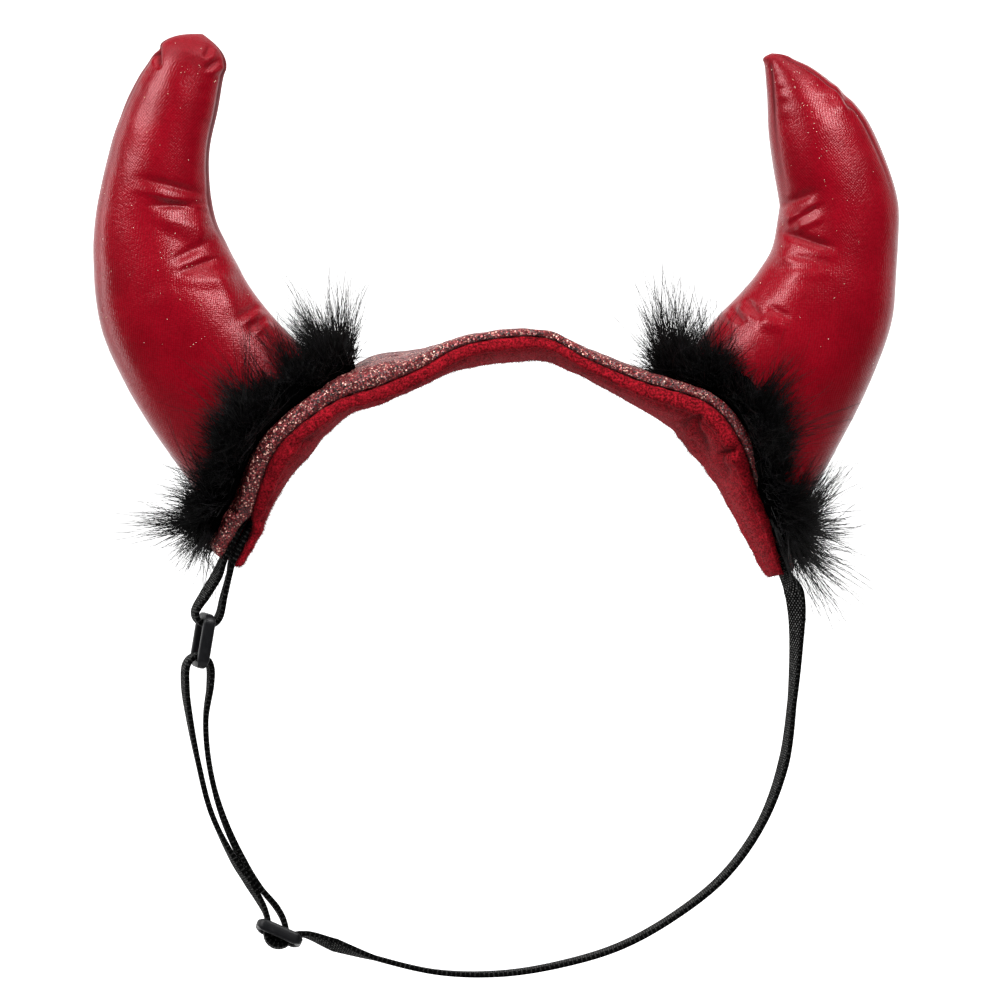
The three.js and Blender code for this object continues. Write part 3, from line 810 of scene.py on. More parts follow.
@dataclass(frozen=True)
class Headband:
    """Course and sizes of the arched headband that cover and lining share.

    Attributes:
        rows: x, z, roll, depth, cover, lining, gap of each section from left to right; roll in degrees, the
            rest in mm.
        edge: height of both faces at their edge.
        NUDGE: step in stations for the direction of the course.
        SAMPLES: stations among which the nearest to a point is sought.
        SIGHT: share of the depth behind the front edge that is seen from the front.
        SHOWN: share of the depth that the roll can show from the front.
        BESIDE, BEHIND: distance along the band in mm and share of the depth beyond which points stay.
    """

    rows: Rows = (
        (-70.9, -53.5, 13, 15, 3.2, 2.0, 3.9),
        (-65.9, -44.7, 10, 20, 4.7, 2.7, 3.3),
        (-63.9, -39.4, 6, 25, 4.8, 3.8, 0.8),
        (-62.2, -33.8, 3, 30, 4.8, 4.9, 0.3),
        (-58.9, -25.7, 1, 36, 4.8, 6.0, 0.3),
        (-53.4, -19.1, 0, 38, 4.8, 5.7, 0.3),
        (-42.3, -11.4, 2, 38, 4.7, 4.3, 0.3),
        (-31.0, -7.5, 8, 36, 4.6, 4.9, 0.3),
        (-20.5, -2.9, 6, 34, 3.2, 4.6, 0.3),
        (-9.4, 3.2, -1, 32, 2.0, 4.4, 0.3),
        (3.8, 5.6, -3, 32, 1.8, 4.2, 0.3),
        (13.9, 5.0, -3, 32, 1.8, 3.6, 0.3),
        (23.7, -0.3, 0, 34, 2.2, 3.4, 0.3),
        (37.8, -6.1, -1, 36, 2.6, 4.8, 0.3),
        (55.0, -11.7, -9, 38, 2.8, 5.8, 0.3),
        (63.5, -21.5, -10, 37, 2.8, 5.6, 0.3),
        (68.0, -33.4, -9, 29, 2.6, 4.4, 0.3),
        (72.6, -45.0, -12, 20, 2.0, 2.6, 2.1),
        (76.4, -56.2, -17, 12.5, 1.6, 0.9, 2.8),
    )
    edge: float = 0.6
    NUDGE: ClassVar[float] = 0.05
    SAMPLES: ClassVar[int] = 361
    SIGHT: ClassVar[float] = 0.4
    SHOWN: ClassVar[float] = 0.35
    BESIDE: ClassVar[float] = 3.0
    BEHIND: ClassVar[float] = 2.0

    @property
    def last(self) -> float:
        """Station of the right end."""
        return len(self.rows) - 1.0

    def frame(self, at: Array) -> BandFrame:
        """The band at some stations.

        Args:
            at: stations of any shape; they stop at the ends.

        Returns:
            Axes and sizes there.
        """
        rows = np.array(self.rows)
        at = np.clip(np.asarray(at, float), 0.0, self.last)
        x, z, roll, depth, cover, lining, gap = np.moveaxis(smooth_rows(rows, at), -1, 0)
        step = smooth_rows(rows, at + self.NUDGE) - smooth_rows(rows, at - self.NUDGE)
        along = unit(step[..., :2])
        zero = np.zeros_like(x)
        out = np.stack([-along[..., 1], zero, along[..., 0]], -1)
        cos, sin = np.cos(np.radians(roll))[..., None], np.sin(np.radians(roll))[..., None]
        front = np.stack([x, -0.5 * depth * cos[..., 0], z], -1)
        return BandFrame(front, Y_AXIS * cos + out * sin, out * cos - Y_AXIS * sin, depth, cover, lining, gap)

    def point(self, at: Array, offset: Array, height: Array) -> Array:
        """Points offset mm back from the front edge and height mm out of the seam's plane."""
        frame = self.frame(at)
        return frame.front + frame.across * offset[..., None] + frame.up * height[..., None]

    def lifted(self, points: Array, margin: Array | float, soft: float = 0.1, sink: float = 2.0) -> Array:
        """Points moved up out of the cover, so that its front strip stays in sight.

        Over the band a point is held gap / 2 + edge + cover + margin - sink above the seam's plane, and
        before its front edge above what the roll shows of the cover.

        Args:
            points: positions on the last axis, in mm.
            margin: distance kept from the cover, in mm, for all points or for each.
            soft: height over which points give way, in mm.
            sink: how much nearer points may come behind the front edge, in mm.

        Returns:
            The moved points, in the shape of points.
        """
        frame = self.frame(np.linspace(0.0, self.last, self.SAMPLES))
        middle = frame.front + 0.5 * frame.depth[:, None] * frame.across
        flat, line = points.reshape(-1, 3), middle[:, XZ]
        near = ((line**2).sum(1) - 2 * flat[:, XZ] @ line.T).argmin(1)
        across, up, depth = frame.across[near], frame.up[near], frame.depth[near]
        along = unit(np.cross(across, up))
        out = np.cross(Y_AXIS, along)
        out = unit(out) * np.sign(dot(out, up))[:, None]
        offset = flat - frame.front[near]
        share = dot(offset, across) / depth
        sight = np.clip(share / self.SIGHT, 0.0, 1.0)
        way = unit(out * (1 - sight)[:, None] + up * sight[:, None])
        rise = frame.cover[near] + self.SHOWN * depth * np.maximum(-up[:, 1], 0.0) * (1 - sight)
        crown = 0.5 * frame.gap[near] + self.edge + rise - sink * sight
        crown = crown + np.broadcast_to(margin, points.shape[:-1]).ravel()
        short = soft * np.logaddexp(0.0, (crown - dot(offset, way)) / soft)
        held = (np.abs(dot(offset, along)) < self.BESIDE) & (share < self.BEHIND)
        return (flat + way * np.where(held, short, 0.0)[:, None]).reshape(points.shape)

    def sewn(self, at: float, y: float, height: float) -> tuple[Array, Array]:
        """A place between the faces.

        Args:
            at: its station.
            y: its depth in mm.
            height: over the seam's plane, in mm.

        Returns:
            The point and the direction across the band there.
        """
        frame = self.frame(np.array(at))
        offset = np.array((y - frame.front[1]) / frame.across[1])
        return self.point(np.array(at), offset, np.array(height)), frame.across


class Face(Enum):
    """The two faces of the headband, as the sign of their height."""

    COVER = 1
    LINING = -1


@dataclass
class PaddedFace:
    """One padded face of the headband, sewn to the other along both edges.

    Attributes:
        band: the shared course.
        face: which of the two it is.
        across: columns across its outer side.
        lumps: height of the padding's unevenness, in mm.
        pucker: height of the gathers along the seam, in mm.
        full: exponent of the section; a higher one fills the edges more.
        round: radius of the rolled edge as a share of the face's height.
        creases: the values of each Fold that is a tuck.
        steps: sections along it.
        EDGE, FLAT: corners of a section on each rolled edge and on the inner side.
        SQUARE: exponent of the rolled edge.
        END, SHUT: length in stations over which the ends close, and how far.
        BURIED: depth of the inner side in the other face or the elastic, in mm.
    """

    band: Headband
    face: Face
    across: int
    lumps: float
    pucker: float
    full: float
    round: float
    creases: Rows = ()
    steps: int = 380
    EDGE: ClassVar[int] = 12
    FLAT: ClassVar[int] = 9
    SQUARE: ClassVar[float] = 0.7
    END: ClassVar[float] = 0.32
    SHUT: ClassVar[float] = 0.93
    BURIED: ClassVar[float] = 0.12

    def rings(self) -> tuple[Array, Array]:
        """Closed sections along the band, and how near each point is to the seam or a tuck, a mark that the
        finishes paint as shade.

        With r the radius of the rolled edge, a superellipse of exponent SQUARE, and s the share of the depth
        between both rolls, the outer side is 2 r + (edge + pad - 2 r)(1 - |2 s - 1|^full) high, and the inner
        side lies on the seam's plane or on the elastic.

        Returns:
            Sections by corners by 3, in mm, and nearness of 0 to 1.
        """
        band = self.band
        at = np.linspace(0.0, band.last, self.steps)[:, None]
        frame = band.frame(at)
        ending = (np.abs(at - 0.5 * band.last) - 0.5 * band.last + self.END) / self.END
        close = np.sqrt(1.0 - self.SHUT * np.clip(ending, 0.0, 1.0) ** 2)
        pad = (frame.cover if self.face is Face.COVER else frame.lining) * close
        tall = band.edge * close + pad
        roll = self.round * tall
        room = frame.depth - 2 * roll
        turn = np.radians(np.linspace(-90, -265, self.EDGE))[None, :]
        bow, stem = power(np.cos(turn), self.SQUARE), power(np.sin(turn), self.SQUARE)
        share = 0.5 - 0.5 * np.cos(np.linspace(0, np.pi, self.across + 2)[1:-1])[None, :]
        flat = np.linspace(0.94, 0.06, self.FLAT)[None, :]
        dome = 2 * roll + (tall - 2 * roll) * (1 - np.abs(2 * share - 1) ** self.full)
        back = frame.depth - roll - roll * bow[:, ::-1]
        offset = np.concatenate([roll + roll * bow, roll + room * share, back, roll + room * flat], 1)
        height = np.concatenate([roll + roll * stem, dome, roll + roll * stem[:, ::-1], 0 * roll * flat], 1)
        inside = np.clip((offset - roll) / room, 0.0, 1.0)
        parted = ease(1.6, 3.2, frame.gap) * (1 - ease(0.3, 0.6, inside))
        lift = 0.5 * frame.gap * (1 - (1 - parted) * np.abs(2 * inside - 1) ** 4) - self.BURIED
        rings = band.point(at + 0 * offset, offset, self.face.value * (height + lift))
        outer = np.r_[np.ones(2 * self.EDGE + self.across), np.zeros(self.FLAT)][None]
        relief, furrow = self.relief(rings, frame, np.minimum(offset, frame.depth - offset))
        rings = rings + tube_normals(rings) * (relief * outer * close)[..., None]
        # the seam edge and the tucks' furrows are marked for painted shade
        return rings, np.maximum(bell(height, 0.35), 0.7 * furrow) * outer

    def relief(self, rings: Array, frame: BandFrame, from_edge: Array) -> tuple[Array, Array]:
        """Unevenness of the padding, gathers along the seam and tucks.

        The gathers are sin(l / 0.93 + 2.2 sin(l / 11)) of the length l along the seam, in fuller and lower
        groups, 1.2 mm inside the edge.

        Args:
            rings: sections by corners by 3, in mm.
            frame: the band at each section.
            from_edge: distance of each corner from the nearer edge, in mm.

        Returns:
            Height in mm and nearness to a tuck of 0 to 1.
        """
        arc = arc_length(frame.front[:, 0])[:, None]
        wander = np.sin(arc / 0.93 + 2.2 * np.sin(arc / 11.0)) * (0.6 + 0.4 * np.sin(arc / 7.3))
        relief = self.lumps * ripple(rings, 11.0, 5) + 0.4 * self.lumps * ripple(rings, 4.0, 6)
        relief = relief * ease(0.3, 4.0, from_edge) + self.pucker * wander * bell(from_edge - 1.2, 2.4)
        tucks, furrow = fold_relief(rings, self.creases)
        return relief + tucks, furrow

    def build(self, name: str, material: bpy.types.Material, fill: float) -> bpy.types.Object:
        """Makes the face.

        Args:
            name: its node.
            material: its finish.
            fill: how full its padding is, 0 to 1; not used.

        Returns:
            The piece.
        """
        rings, seam = self.rings()
        piece = stand_in(Skin.tube(rings).piece(f"{name}_pad", material, {"seam": seam}), name)
        return piece

    def nap(self, name: str, material: bpy.types.Material, count: int) -> bpy.types.Object:
        """Makes short fibres that stand off the face's outer side.

        Args:
            name: the piece's name.
            material: its finish.
            count: number of fibres.

        Returns:
            The piece.
        """
        rings, _ = self.rings()
        outer = np.s_[:, 2:2 * self.EDGE + self.across - 2]
        roots, normals = (table[outer].reshape(-1, 3) for table in (rings, tube_normals(rings)))
        fibres = fuzz(roots, normals, count, length=0.9, radius=0.05, seed=31)
        piece = fibres.piece(name, material)
        return piece


def fuzz(roots: Array, normals: Array, count: int, length: float, radius: float, seed: int) -> Skin:
    """Short fibres standing off a surface, each a thin three-sided spike.

    Args:
        roots: candidate places in mm.
        normals: outward directions there.
        count: number of fibres.
        length: their mean length in mm.
        radius: at the root, in mm.
        seed: of the random choice.

    Returns:
        All fibres as one skin.
    """
    ruffle, scatter, buried = 0.55, 0.15, 0.15
    rng = np.random.default_rng(seed)
    pick = rng.integers(0, len(roots), count)
    lean = unit(normals[pick] + rng.normal(scale=ruffle, size=(count, 3)))
    long = length * rng.uniform(0.5, 1.4, (count, 1))
    root = roots[pick] - buried * normals[pick] + rng.normal(scale=scatter, size=(count, 3))
    return spikes(np.stack([root, root + lean * long], 1), np.full((count, 1), radius))


def spikes(paths: Array, radii: Array) -> Skin:
    """Closed three-sided strands along many paths at once, each ending in a point.

    Args:
        paths: strands by joints by 3, in mm.
        radii: strands by joints but the last, in mm.

    Returns:
        All strands as one skin.
    """
    strands, joints = paths.shape[:2]
    along = unit(np.gradient(paths, axis=1))[:, :-1]
    helper = np.where(np.abs(along[:, :1, 2:]) < 0.8, [0.0, 0.0, 1.0], [1.0, 0.0, 0.0])
    side = unit(np.cross(along, helper))
    other = np.cross(along, side)
    turn = np.arange(3) * 2 * np.pi / 3
    ring = side[:, :, None] * np.cos(turn)[:, None] + other[:, :, None] * np.sin(turn)[:, None]
    body = (paths[:, :-1, None] + ring * radii[:, :, None, None]).reshape(strands, -1, 3)
    points = np.concatenate([body, paths[:, -1:]], 1)
    index = np.arange(points.shape[0] * points.shape[1]).reshape(strands, -1)
    rings = index[:, :-1].reshape(strands, joints - 1, 3)
    ahead = np.roll(rings, -1, axis=2)
    quads = np.stack([rings[:, :-1], ahead[:, :-1], ahead[:, 1:], rings[:, 1:]], -1).reshape(-1, 4)
    tips = np.stack([rings[:, -1], ahead[:, -1], np.repeat(index[:, -1:], 3, axis=1)], -1).reshape(-1, 3)
    return Skin(points.reshape(-1, 3), [quads, np.concatenate([rings[:, 0, ::-1], tips])])


class Edge(Enum):
    """The two seams of a horn, as the sign of their side."""

    INNER = -1
    OUTER = 1


@dataclass
class Horn:
    """A stuffed horn of two leatherette panels, sewn along its inner and outer outline.

    Attributes:
        name: its node.
        band: the headband it stands on.
        rows: outerX, outerZ, innerX, innerZ, depth of each section from root to tip, in mm.
        dome: length of the rounded tip past the last section, in mm.
        creases: the values of each Fold of the front panel.
        dents: x, z, reach and depth of the hollows that the folds lie in, in mm.
        seams: edge, first and last station, inset from the outline and depth of each visible seam, in mm.
        trail: x, z of bunches of loose glitter on the front panel, in mm.
        seed: of the small unevenness.
        along, around: rings up to the last section, and corners of a ring.
        fill: how full its stuffing is, 0 to 1; not used.
        TIP, TURN: rings of the rounded tip, and how far they go in quarter turns.
        PASSES: smoothing passes along the rings.
        FULL: exponent of a ring's depth.
        RUBBED: share of the horn's rings below its rubbed tip.
    """

    name: str
    band: Headband
    rows: Rows
    dome: float
    creases: Rows
    dents: Rows
    seams: tuple[tuple[Edge, float, float, float, float], ...]
    trail: Rows
    seed: int
    along: int = 270
    around: int = 150
    fill: float = 0.85
    TIP: ClassVar[int] = 21
    TURN: ClassVar[float] = 0.985
    PASSES: ClassVar[int] = 90
    FULL: ClassVar[float] = 0.98
    RUBBED: ClassVar[float] = 0.955

    def section(self, at: Array) -> tuple[Array, Array, Array]:
        """The horn's smooth course.

        Args:
            at: stations of any shape; they stop at the first and last section.

        Returns:
            Middle, vector to the outer seam and half depth there, in mm.
        """
        row = smooth_rows(np.array(self.rows), at)
        zero = np.zeros_like(row[..., 0])
        outer = np.stack([row[..., 0], zero, row[..., 1]], -1)
        inner = np.stack([row[..., 2], zero, row[..., 3]], -1)
        return 0.5 * (outer + inner), 0.5 * (outer - inner), 0.5 * row[..., 4]

    def smooth_rings(self) -> tuple[Array, Array, Array]:
        """The horn without folds: rings, their angle, and the station of each ring.

        A ring is middle + side cos(a) + Y halfDepth sign(sin a) |sin a|^FULL, with all three smoothed along
        the horn; past the last section it shrinks with cos(b) while it moves dome sin(b) along the horn.

        Returns:
            Sections by corners by 3 in mm, sections by corners, and one value for each section.
        """
        last = len(self.rows) - 1.0
        body = np.linspace(0.0, last, self.along)
        bend = np.linspace(0.0, 0.5 * np.pi * self.TURN, self.TIP + 1)[1:]
        at = np.concatenate([body, np.full(self.TIP, last)])
        shrink = np.concatenate([np.ones(self.along), np.cos(bend)])
        push = np.concatenate([np.zeros(self.along), self.dome * np.sin(bend)])
        middle, side, half = self.section(at)
        middle = middle + push[:, None] * unit(middle[self.along - 1] - middle[self.along - 6])
        for _ in range(self.PASSES):
            for table in (middle, side, half):
                table[1:-1] = 0.25 * table[:-2] + 0.5 * table[1:-1] + 0.25 * table[2:]
        angle = np.linspace(0, 2 * np.pi, self.around, endpoint=False)
        rings = middle[:, None] + (side * shrink[:, None])[:, None] * np.cos(angle)[None, :, None]
        bulge = power(np.sin(angle), self.FULL)[None, :, None]
        rings = rings + Y_AXIS * (half * shrink)[:, None, None] * bulge
        return rings, np.broadcast_to(angle, rings.shape[:2]), at

    def seam_relief(self, rings: Array, angle: Array, at: Array) -> tuple[Array, Array]:
        """Grooves of the seams on the front panel, with gathers beside them.

        At the distance g from a seam the height is
        sink (0.3 w bell(g - 2, 2.6) ease(0, 0.8, g) - bell(g, 0.45)), where w = sin(l / 0.8 + 2 sin(l / 6.1))
        runs in fuller and lower groups along the horn's length l.

        Args:
            rings: sections by corners by 3, in mm.
            angle: of each corner round its section.
            at: station of each section.

        Returns:
            Height in mm and nearness to a seam of 0 to 1.
        """
        arc = arc_length(rings.mean(1))[:, None]
        wander = np.sin(arc / 0.8 + 2.0 * np.sin(arc / 6.1)) * (0.55 + 0.45 * np.sin(arc / 4.7 + self.seed))
        reach = np.linalg.norm(self.section(at)[1], axis=-1)[:, None]
        height, near = np.zeros(angle.shape), np.zeros(angle.shape)
        for edge, begin, end, inset, sink in self.seams:
            gap = reach * (1 - edge.value * np.cos(angle)) - inset
            span = (ease(begin - 1.2, begin + 1.2, at) * (1 - ease(end - 0.3, end + 0.3, at)))[:, None]
            span = span * (np.sin(angle) < 0.02)
            gather = 0.3 * sink * wander * bell(gap - 2.0, 2.6) * ease(0.0, 0.8, gap)
            height += span * (gather - sink * bell(gap, 0.45))
            near = np.maximum(near, span * bell(gap, 0.35))
        return height, near

    def surface(self) -> tuple[Array, Array, Array]:
        """The horn with folds, dents and seams.

        Folds and dents fade to a quarter round the back, waves of 26 and 8 mm make all of it a little uneven,
        and the relief dies away over the rounded tip.

        Returns:
            Rings in mm and their normals, sections by corners by 3, and nearness to a seam or a fold's furrow
            of 0 to 1, which the finish paints as shade.
        """
        rings, angle, at = self.smooth_rings()
        front = ease(-0.2, 0.35, -np.sin(angle))
        relief, furrow = fold_relief(rings, self.creases)
        for x, z, reach, depth in self.dents:
            relief -= depth * bell(np.hypot(rings[..., 0] - x, rings[..., 2] - z), reach)
        sewn, seam = self.seam_relief(rings, angle, at)
        relief = relief * (0.25 + 0.75 * front) + sewn
        relief = relief + 0.2 * ripple(rings, 26.0, self.seed) + 0.03 * ripple(rings, 8.0, self.seed + 1)
        calm = np.concatenate([np.ones(self.along), np.linspace(1, 0.1, self.TIP)])[:, None]
        rings = self.band.lifted(rings + tube_normals(rings) * (relief * calm)[..., None], margin=0.5)
        # the seam mark also carries a third of each front furrow, so that the finish paints shade into the
        # folds
        return rings, tube_normals(rings), np.maximum(0.3 * furrow * front, seam)

    def build(self, material: bpy.types.Material) -> bpy.types.Object:
        """Makes the horn's skin, with its length and girth in mm for the weave.

        Args:
            material: its finish.

        Returns:
            The piece.
        """
        rings, _, seam = self.surface()
        arc = arc_length(rings.mean(1))[:, None]
        girth = np.cumsum(np.linalg.norm(np.diff(rings, axis=1, prepend=rings[:, :1]), axis=-1), axis=1)
        uv = np.stack([arc + 0 * girth, girth], -1)
        place = np.linspace(0.0, 1.0, len(rings))[:, None] * len(rings) / self.along + 0 * girth
        marks = {"seam": seam, "rubbed": ease(self.RUBBED, 1.0, place)}
        piece = stand_in(Skin.tube(rings, uv).piece(f"{self.name}_skin", material, marks), self.name)
        return piece

    def flecks(self, count: int, material: bpy.types.Material) -> bpy.types.Object:
        """Makes loose glitter on the front panel, each speck a tiny closed pyramid.

        Args:
            count: number of specks outside the bunches.
            material: their finish.

        Returns:
            The piece.
        """
        bunch, scatter, buried, tall, rim = 4, 0.8, 0.05, 0.16, 8
        rings, normals, _ = self.surface()
        rng = np.random.default_rng(self.seed + 9)
        front = np.s_[self.along // 5:self.along + 10, self.around // 2 + rim:self.around - rim]
        places, ways = rings[front].reshape(-1, 3), normals[front].reshape(-1, 3)
        spots = np.repeat(np.array(self.trail), bunch, axis=0)
        spots = spots + rng.normal(scale=scatter, size=spots.shape)
        near = ((places[None, :, XZ] - spots[:, None]) ** 2).sum(-1).argmin(1)
        pick = np.concatenate([near, rng.integers(0, len(places), count)])
        paths = np.stack([places[pick] - buried * ways[pick], places[pick] + tall * ways[pick]], 1)
        specks = spikes(paths, rng.uniform(0.12, 0.24, (len(pick), 1)))
        return specks.piece(f"{self.name}_flecks", material)


@dataclass(frozen=True)
class Barbs:
    """One kind of strand in a feather trim.

    Attributes:
        kind: end of the piece's name.
        tufts: number of tufts.
        each: strands in a tuft.
        shortest, longest: length of a tuft, in mm.
        spread: scatter of the directions in a tuft.
        drawn: share by which a tuft draws together at its point.
        curl: scatter of the bend.
        joints: points along a strand.
        radius: at the root, in mm.
    """

    kind: str
    tufts: int
    each: int
    shortest: float
    longest: float
    spread: float
    drawn: float
    curl: float
    joints: int
    radius: float


@dataclass(frozen=True)
class Tufts:
    """How the tufts of a trim stand.

    Attributes:
        root: where each starts, in mm.
        lead: its direction.
        bend: direction and strength of its curl.
        long: its length in mm.
    """

    root: Array
    lead: Array
    bend: Array
    long: Array


@dataclass
class Marabou:
    """Feather trim round a horn's root: a dark core under tufts of down, plumes and stray barbs; the core,
    black and matt, also stands in for the shade deep inside the down.

    Attributes:
        name: its node.
        horn: the horn it goes round.
        inner, outer: stations of the trim on the horn's two seams.
        growth: turn round the horn, length, share, tilt up the horn and its scatter for the tufts there;
            angles in degrees, 180 is the inner seam and 270 the front.
        hang: height about which the trim begins to hang over the cover, in mm.
        seed: of the random growth.
        stand: distance of the core's middle from the horn, in mm.
        thick, tall: half sizes of the core away from the horn and along it, in mm.
        sag: how far the trim hangs over the cover, in mm.
        GRID: turns at which the growth is added up.
        ROUND, SIDES: sections of the core and their corners.
        KINDS: the strands it is made of.
    """

    name: str
    horn: Horn
    inner: float
    outer: float
    growth: Rows
    hang: float
    seed: int
    stand: float = 1.7
    thick: float = 3.2
    tall: float = 4.6
    sag: float = 3.5
    GRID: ClassVar[int] = 721
    ROUND: ClassVar[int] = 160
    SIDES: ClassVar[int] = 24
    KINDS: ClassVar[tuple[Barbs, ...]] = (
        Barbs("down", tufts=420, each=22, shortest=4.0, longest=13.0,
              spread=0.5, drawn=0.1, curl=0.4, joints=4, radius=0.12),
        Barbs("plumes", tufts=160, each=26, shortest=10.0, longest=25.0,
              spread=0.2, drawn=0.32, curl=0.5, joints=6, radius=0.1),
        Barbs("strays", tufts=500, each=1, shortest=12.0, longest=24.0,
              spread=0.0, drawn=0.0, curl=0.55, joints=8, radius=0.075),
    )

    def course(self, turn: Array) -> tuple[Array, Array, Array]:
        """The trim's way round the horn, an ellipse about its section lifted out of the cover.

        Args:
            turn: angles of any shape.

        Returns:
            Middle of the core, direction away from the horn and direction up the horn.
        """
        at = self.inner + 0.5 * (1 + np.cos(turn)) * (self.outer - self.inner)
        middle, side, half = self.horn.section(at)
        reach = np.linalg.norm(side, axis=-1)
        ways = unit(side)
        cos, sin = np.cos(turn), np.sin(turn)
        core = middle + ways * ((reach + self.stand) * cos)[..., None]
        core = core + Y_AXIS * ((half + self.stand) * sin)[..., None]
        away = unit(ways * (cos / np.maximum(reach, 1))[..., None] + Y_AXIS * (sin / half)[..., None])
        root, _, _ = self.horn.section(np.zeros_like(turn))
        ahead, _, _ = self.horn.section(np.ones_like(turn))
        return self.horn.band.lifted(core, 0.7 * self.tall - self.drop(core)), away, unit(ahead - root)

    def drop(self, points: Array) -> Array:
        """How far the trim hangs down over the cover at points, in mm."""
        return self.sag * (1 - ease(self.hang - 12.0, self.hang + 12.0, points[..., 2]))

    def core_rings(self) -> Array:
        """The dark middle of the trim, a lumpy ring closed on itself, black so that it also paints the shade
        inside the down.

        Returns:
            Sections by corners by 3, in mm.
        """
        core, away, up = self.course(np.linspace(0, 2 * np.pi, self.ROUND))
        angle = np.linspace(0, 2 * np.pi, self.SIDES, endpoint=False)
        rings = core[:, None] + away[:, None] * (self.thick * np.cos(angle))[None, :, None]
        rings = rings + up[:, None] * (self.tall * np.sin(angle))[None, :, None]
        out = unit(rings - core[:, None])
        rings = rings + out * ripple(rings, 5.0, self.seed)[..., None]
        return self.horn.band.lifted(rings, -0.3 - self.drop(rings))

    def locks(self, turn: Array) -> Array:
        """cos(12 a + 3 sin(2 a)): where round the horn the down stands in fuller locks, -1 to 1."""
        return np.cos(12 * turn + 3 * np.sin(2 * turn))

    def tufts(self, barbs: Barbs, rng: np.random.Generator) -> Tufts:
        """Scatters tufts round the trim, as close and as long as its growth and locks say.

        Args:
            barbs: the kind of strand.
            rng: source of the scatter.

        Returns:
            One row for each tuft.
        """
        fullness, swerve, uneven, outward, along = 0.55, 0.42, 1.6, 0.55, 0.7
        count = barbs.tufts
        grid = np.linspace(0, 2 * np.pi, self.GRID)
        turns, lengths, shares, tilts, fans = np.array(self.growth).T
        share = np.interp(np.degrees(grid), turns, shares) * (1 + fullness * self.locks(grid))
        crowd = np.cumsum(np.gradient(arc_length(self.course(grid)[0])) * share)
        turn = np.interp(rng.uniform(0, crowd[-1], count), crowd, grid)
        at = np.degrees(turn)
        core, away, up = self.course(turn)
        swing = unit(np.cross(up, away))
        lean = np.interp(at, turns, tilts) + rng.normal(size=count) * np.interp(at, turns, fans)
        tilt = np.radians(np.clip(lean, -80, 88))[:, None]
        lead = away * np.cos(tilt) + up * np.sin(tilt) + swing * rng.normal(scale=swerve, size=(count, 1))
        bend = unit(rng.normal(size=(count, 3)) + 0.4 * up) * rng.uniform(0.2, 1.0, (count, 1))
        grown = rng.uniform(size=count) ** uneven * (barbs.longest - barbs.shortest)
        long = (barbs.shortest + grown) * np.interp(at, turns, lengths) * (0.85 + 0.25 * self.locks(turn))
        root = core + away * (outward * self.thick) * np.cos(tilt) + up * (along * self.tall) * np.sin(tilt)
        return Tufts(root, unit(lead), bend, long)

    def strands(self, barbs: Barbs, rng: np.random.Generator) -> Skin:
        """Tufts of one kind of strand.

        A strand of direction d and bend b runs root + L (t d + t^2 b) with a slight wave, and its tuft draws
        it by t^2 to the tuft's point.

        Args:
            barbs: the kind of strand.
            rng: source of the scatter.

        Returns:
            All strands as one skin.
        """
        scatter, stray, ripples, shiver, ahead = 1.4, 0.4, 2.6, 0.02, 1.1
        tufts = self.tufts(barbs, rng)
        count = barbs.tufts * barbs.each
        owner = np.repeat(np.arange(barbs.tufts), barbs.each)
        way = unit(tufts.lead[owner] + rng.normal(scale=barbs.spread, size=(count, 3)))
        length = (tufts.long[owner] * rng.uniform(0.45, 1.1, count))[:, None, None]
        base = tufts.root[owner] + rng.normal(scale=scatter, size=(count, 3))
        curl = barbs.curl * (tufts.bend[owner] + rng.normal(scale=stray, size=(count, 3)))
        t = np.linspace(0, 1, barbs.joints)[None, :, None]
        wave = np.sin(ripples * np.pi * t + rng.uniform(0, 6, (count, 1, 1)))
        wave = wave * rng.normal(scale=shiver, size=(count, 1, 3))
        paths = base[:, None] + length * (t * way[:, None] + t**2 * curl[:, None] + t * wave)
        meet = (tufts.root + tufts.lead * (ahead * tufts.long)[:, None])[owner]
        paths = paths + barbs.drawn * t**2 * (meet[:, None] - paths)
        taper = np.linspace(1.0, 0.2, barbs.joints)[None, :-1]
        return spikes(self.clear(paths, rng), barbs.radius * rng.uniform(0.75, 1.25, (count, 1)) * taper)

    def clear(self, paths: Array, rng: np.random.Generator) -> Array:
        """Strands pushed up off the cover, each a little differently, but for those that hang over it."""
        margin = rng.uniform(-0.4, 0.9, (len(paths), 1)) - self.drop(paths[:, :1])
        return self.horn.band.lifted(paths, margin, soft=0.5)

    def build(self, feather: bpy.types.Material, shade: bpy.types.Material) -> list[bpy.types.Object]:
        """Makes the trim.

        Args:
            feather: finish of the strands.
            shade: finish of the core.

        Returns:
            The core and one piece for each kind of strand.
        """
        rng = np.random.default_rng(self.seed)
        pieces = [stand_in(Skin.tube(self.core_rings()).piece(f"{self.name}_core", shade), self.name)]
        for kind in self.KINDS:
            strands = self.strands(kind, rng).piece(f"{self.name}_{kind.kind}", feather)
            pieces.append(strands)
        return pieces


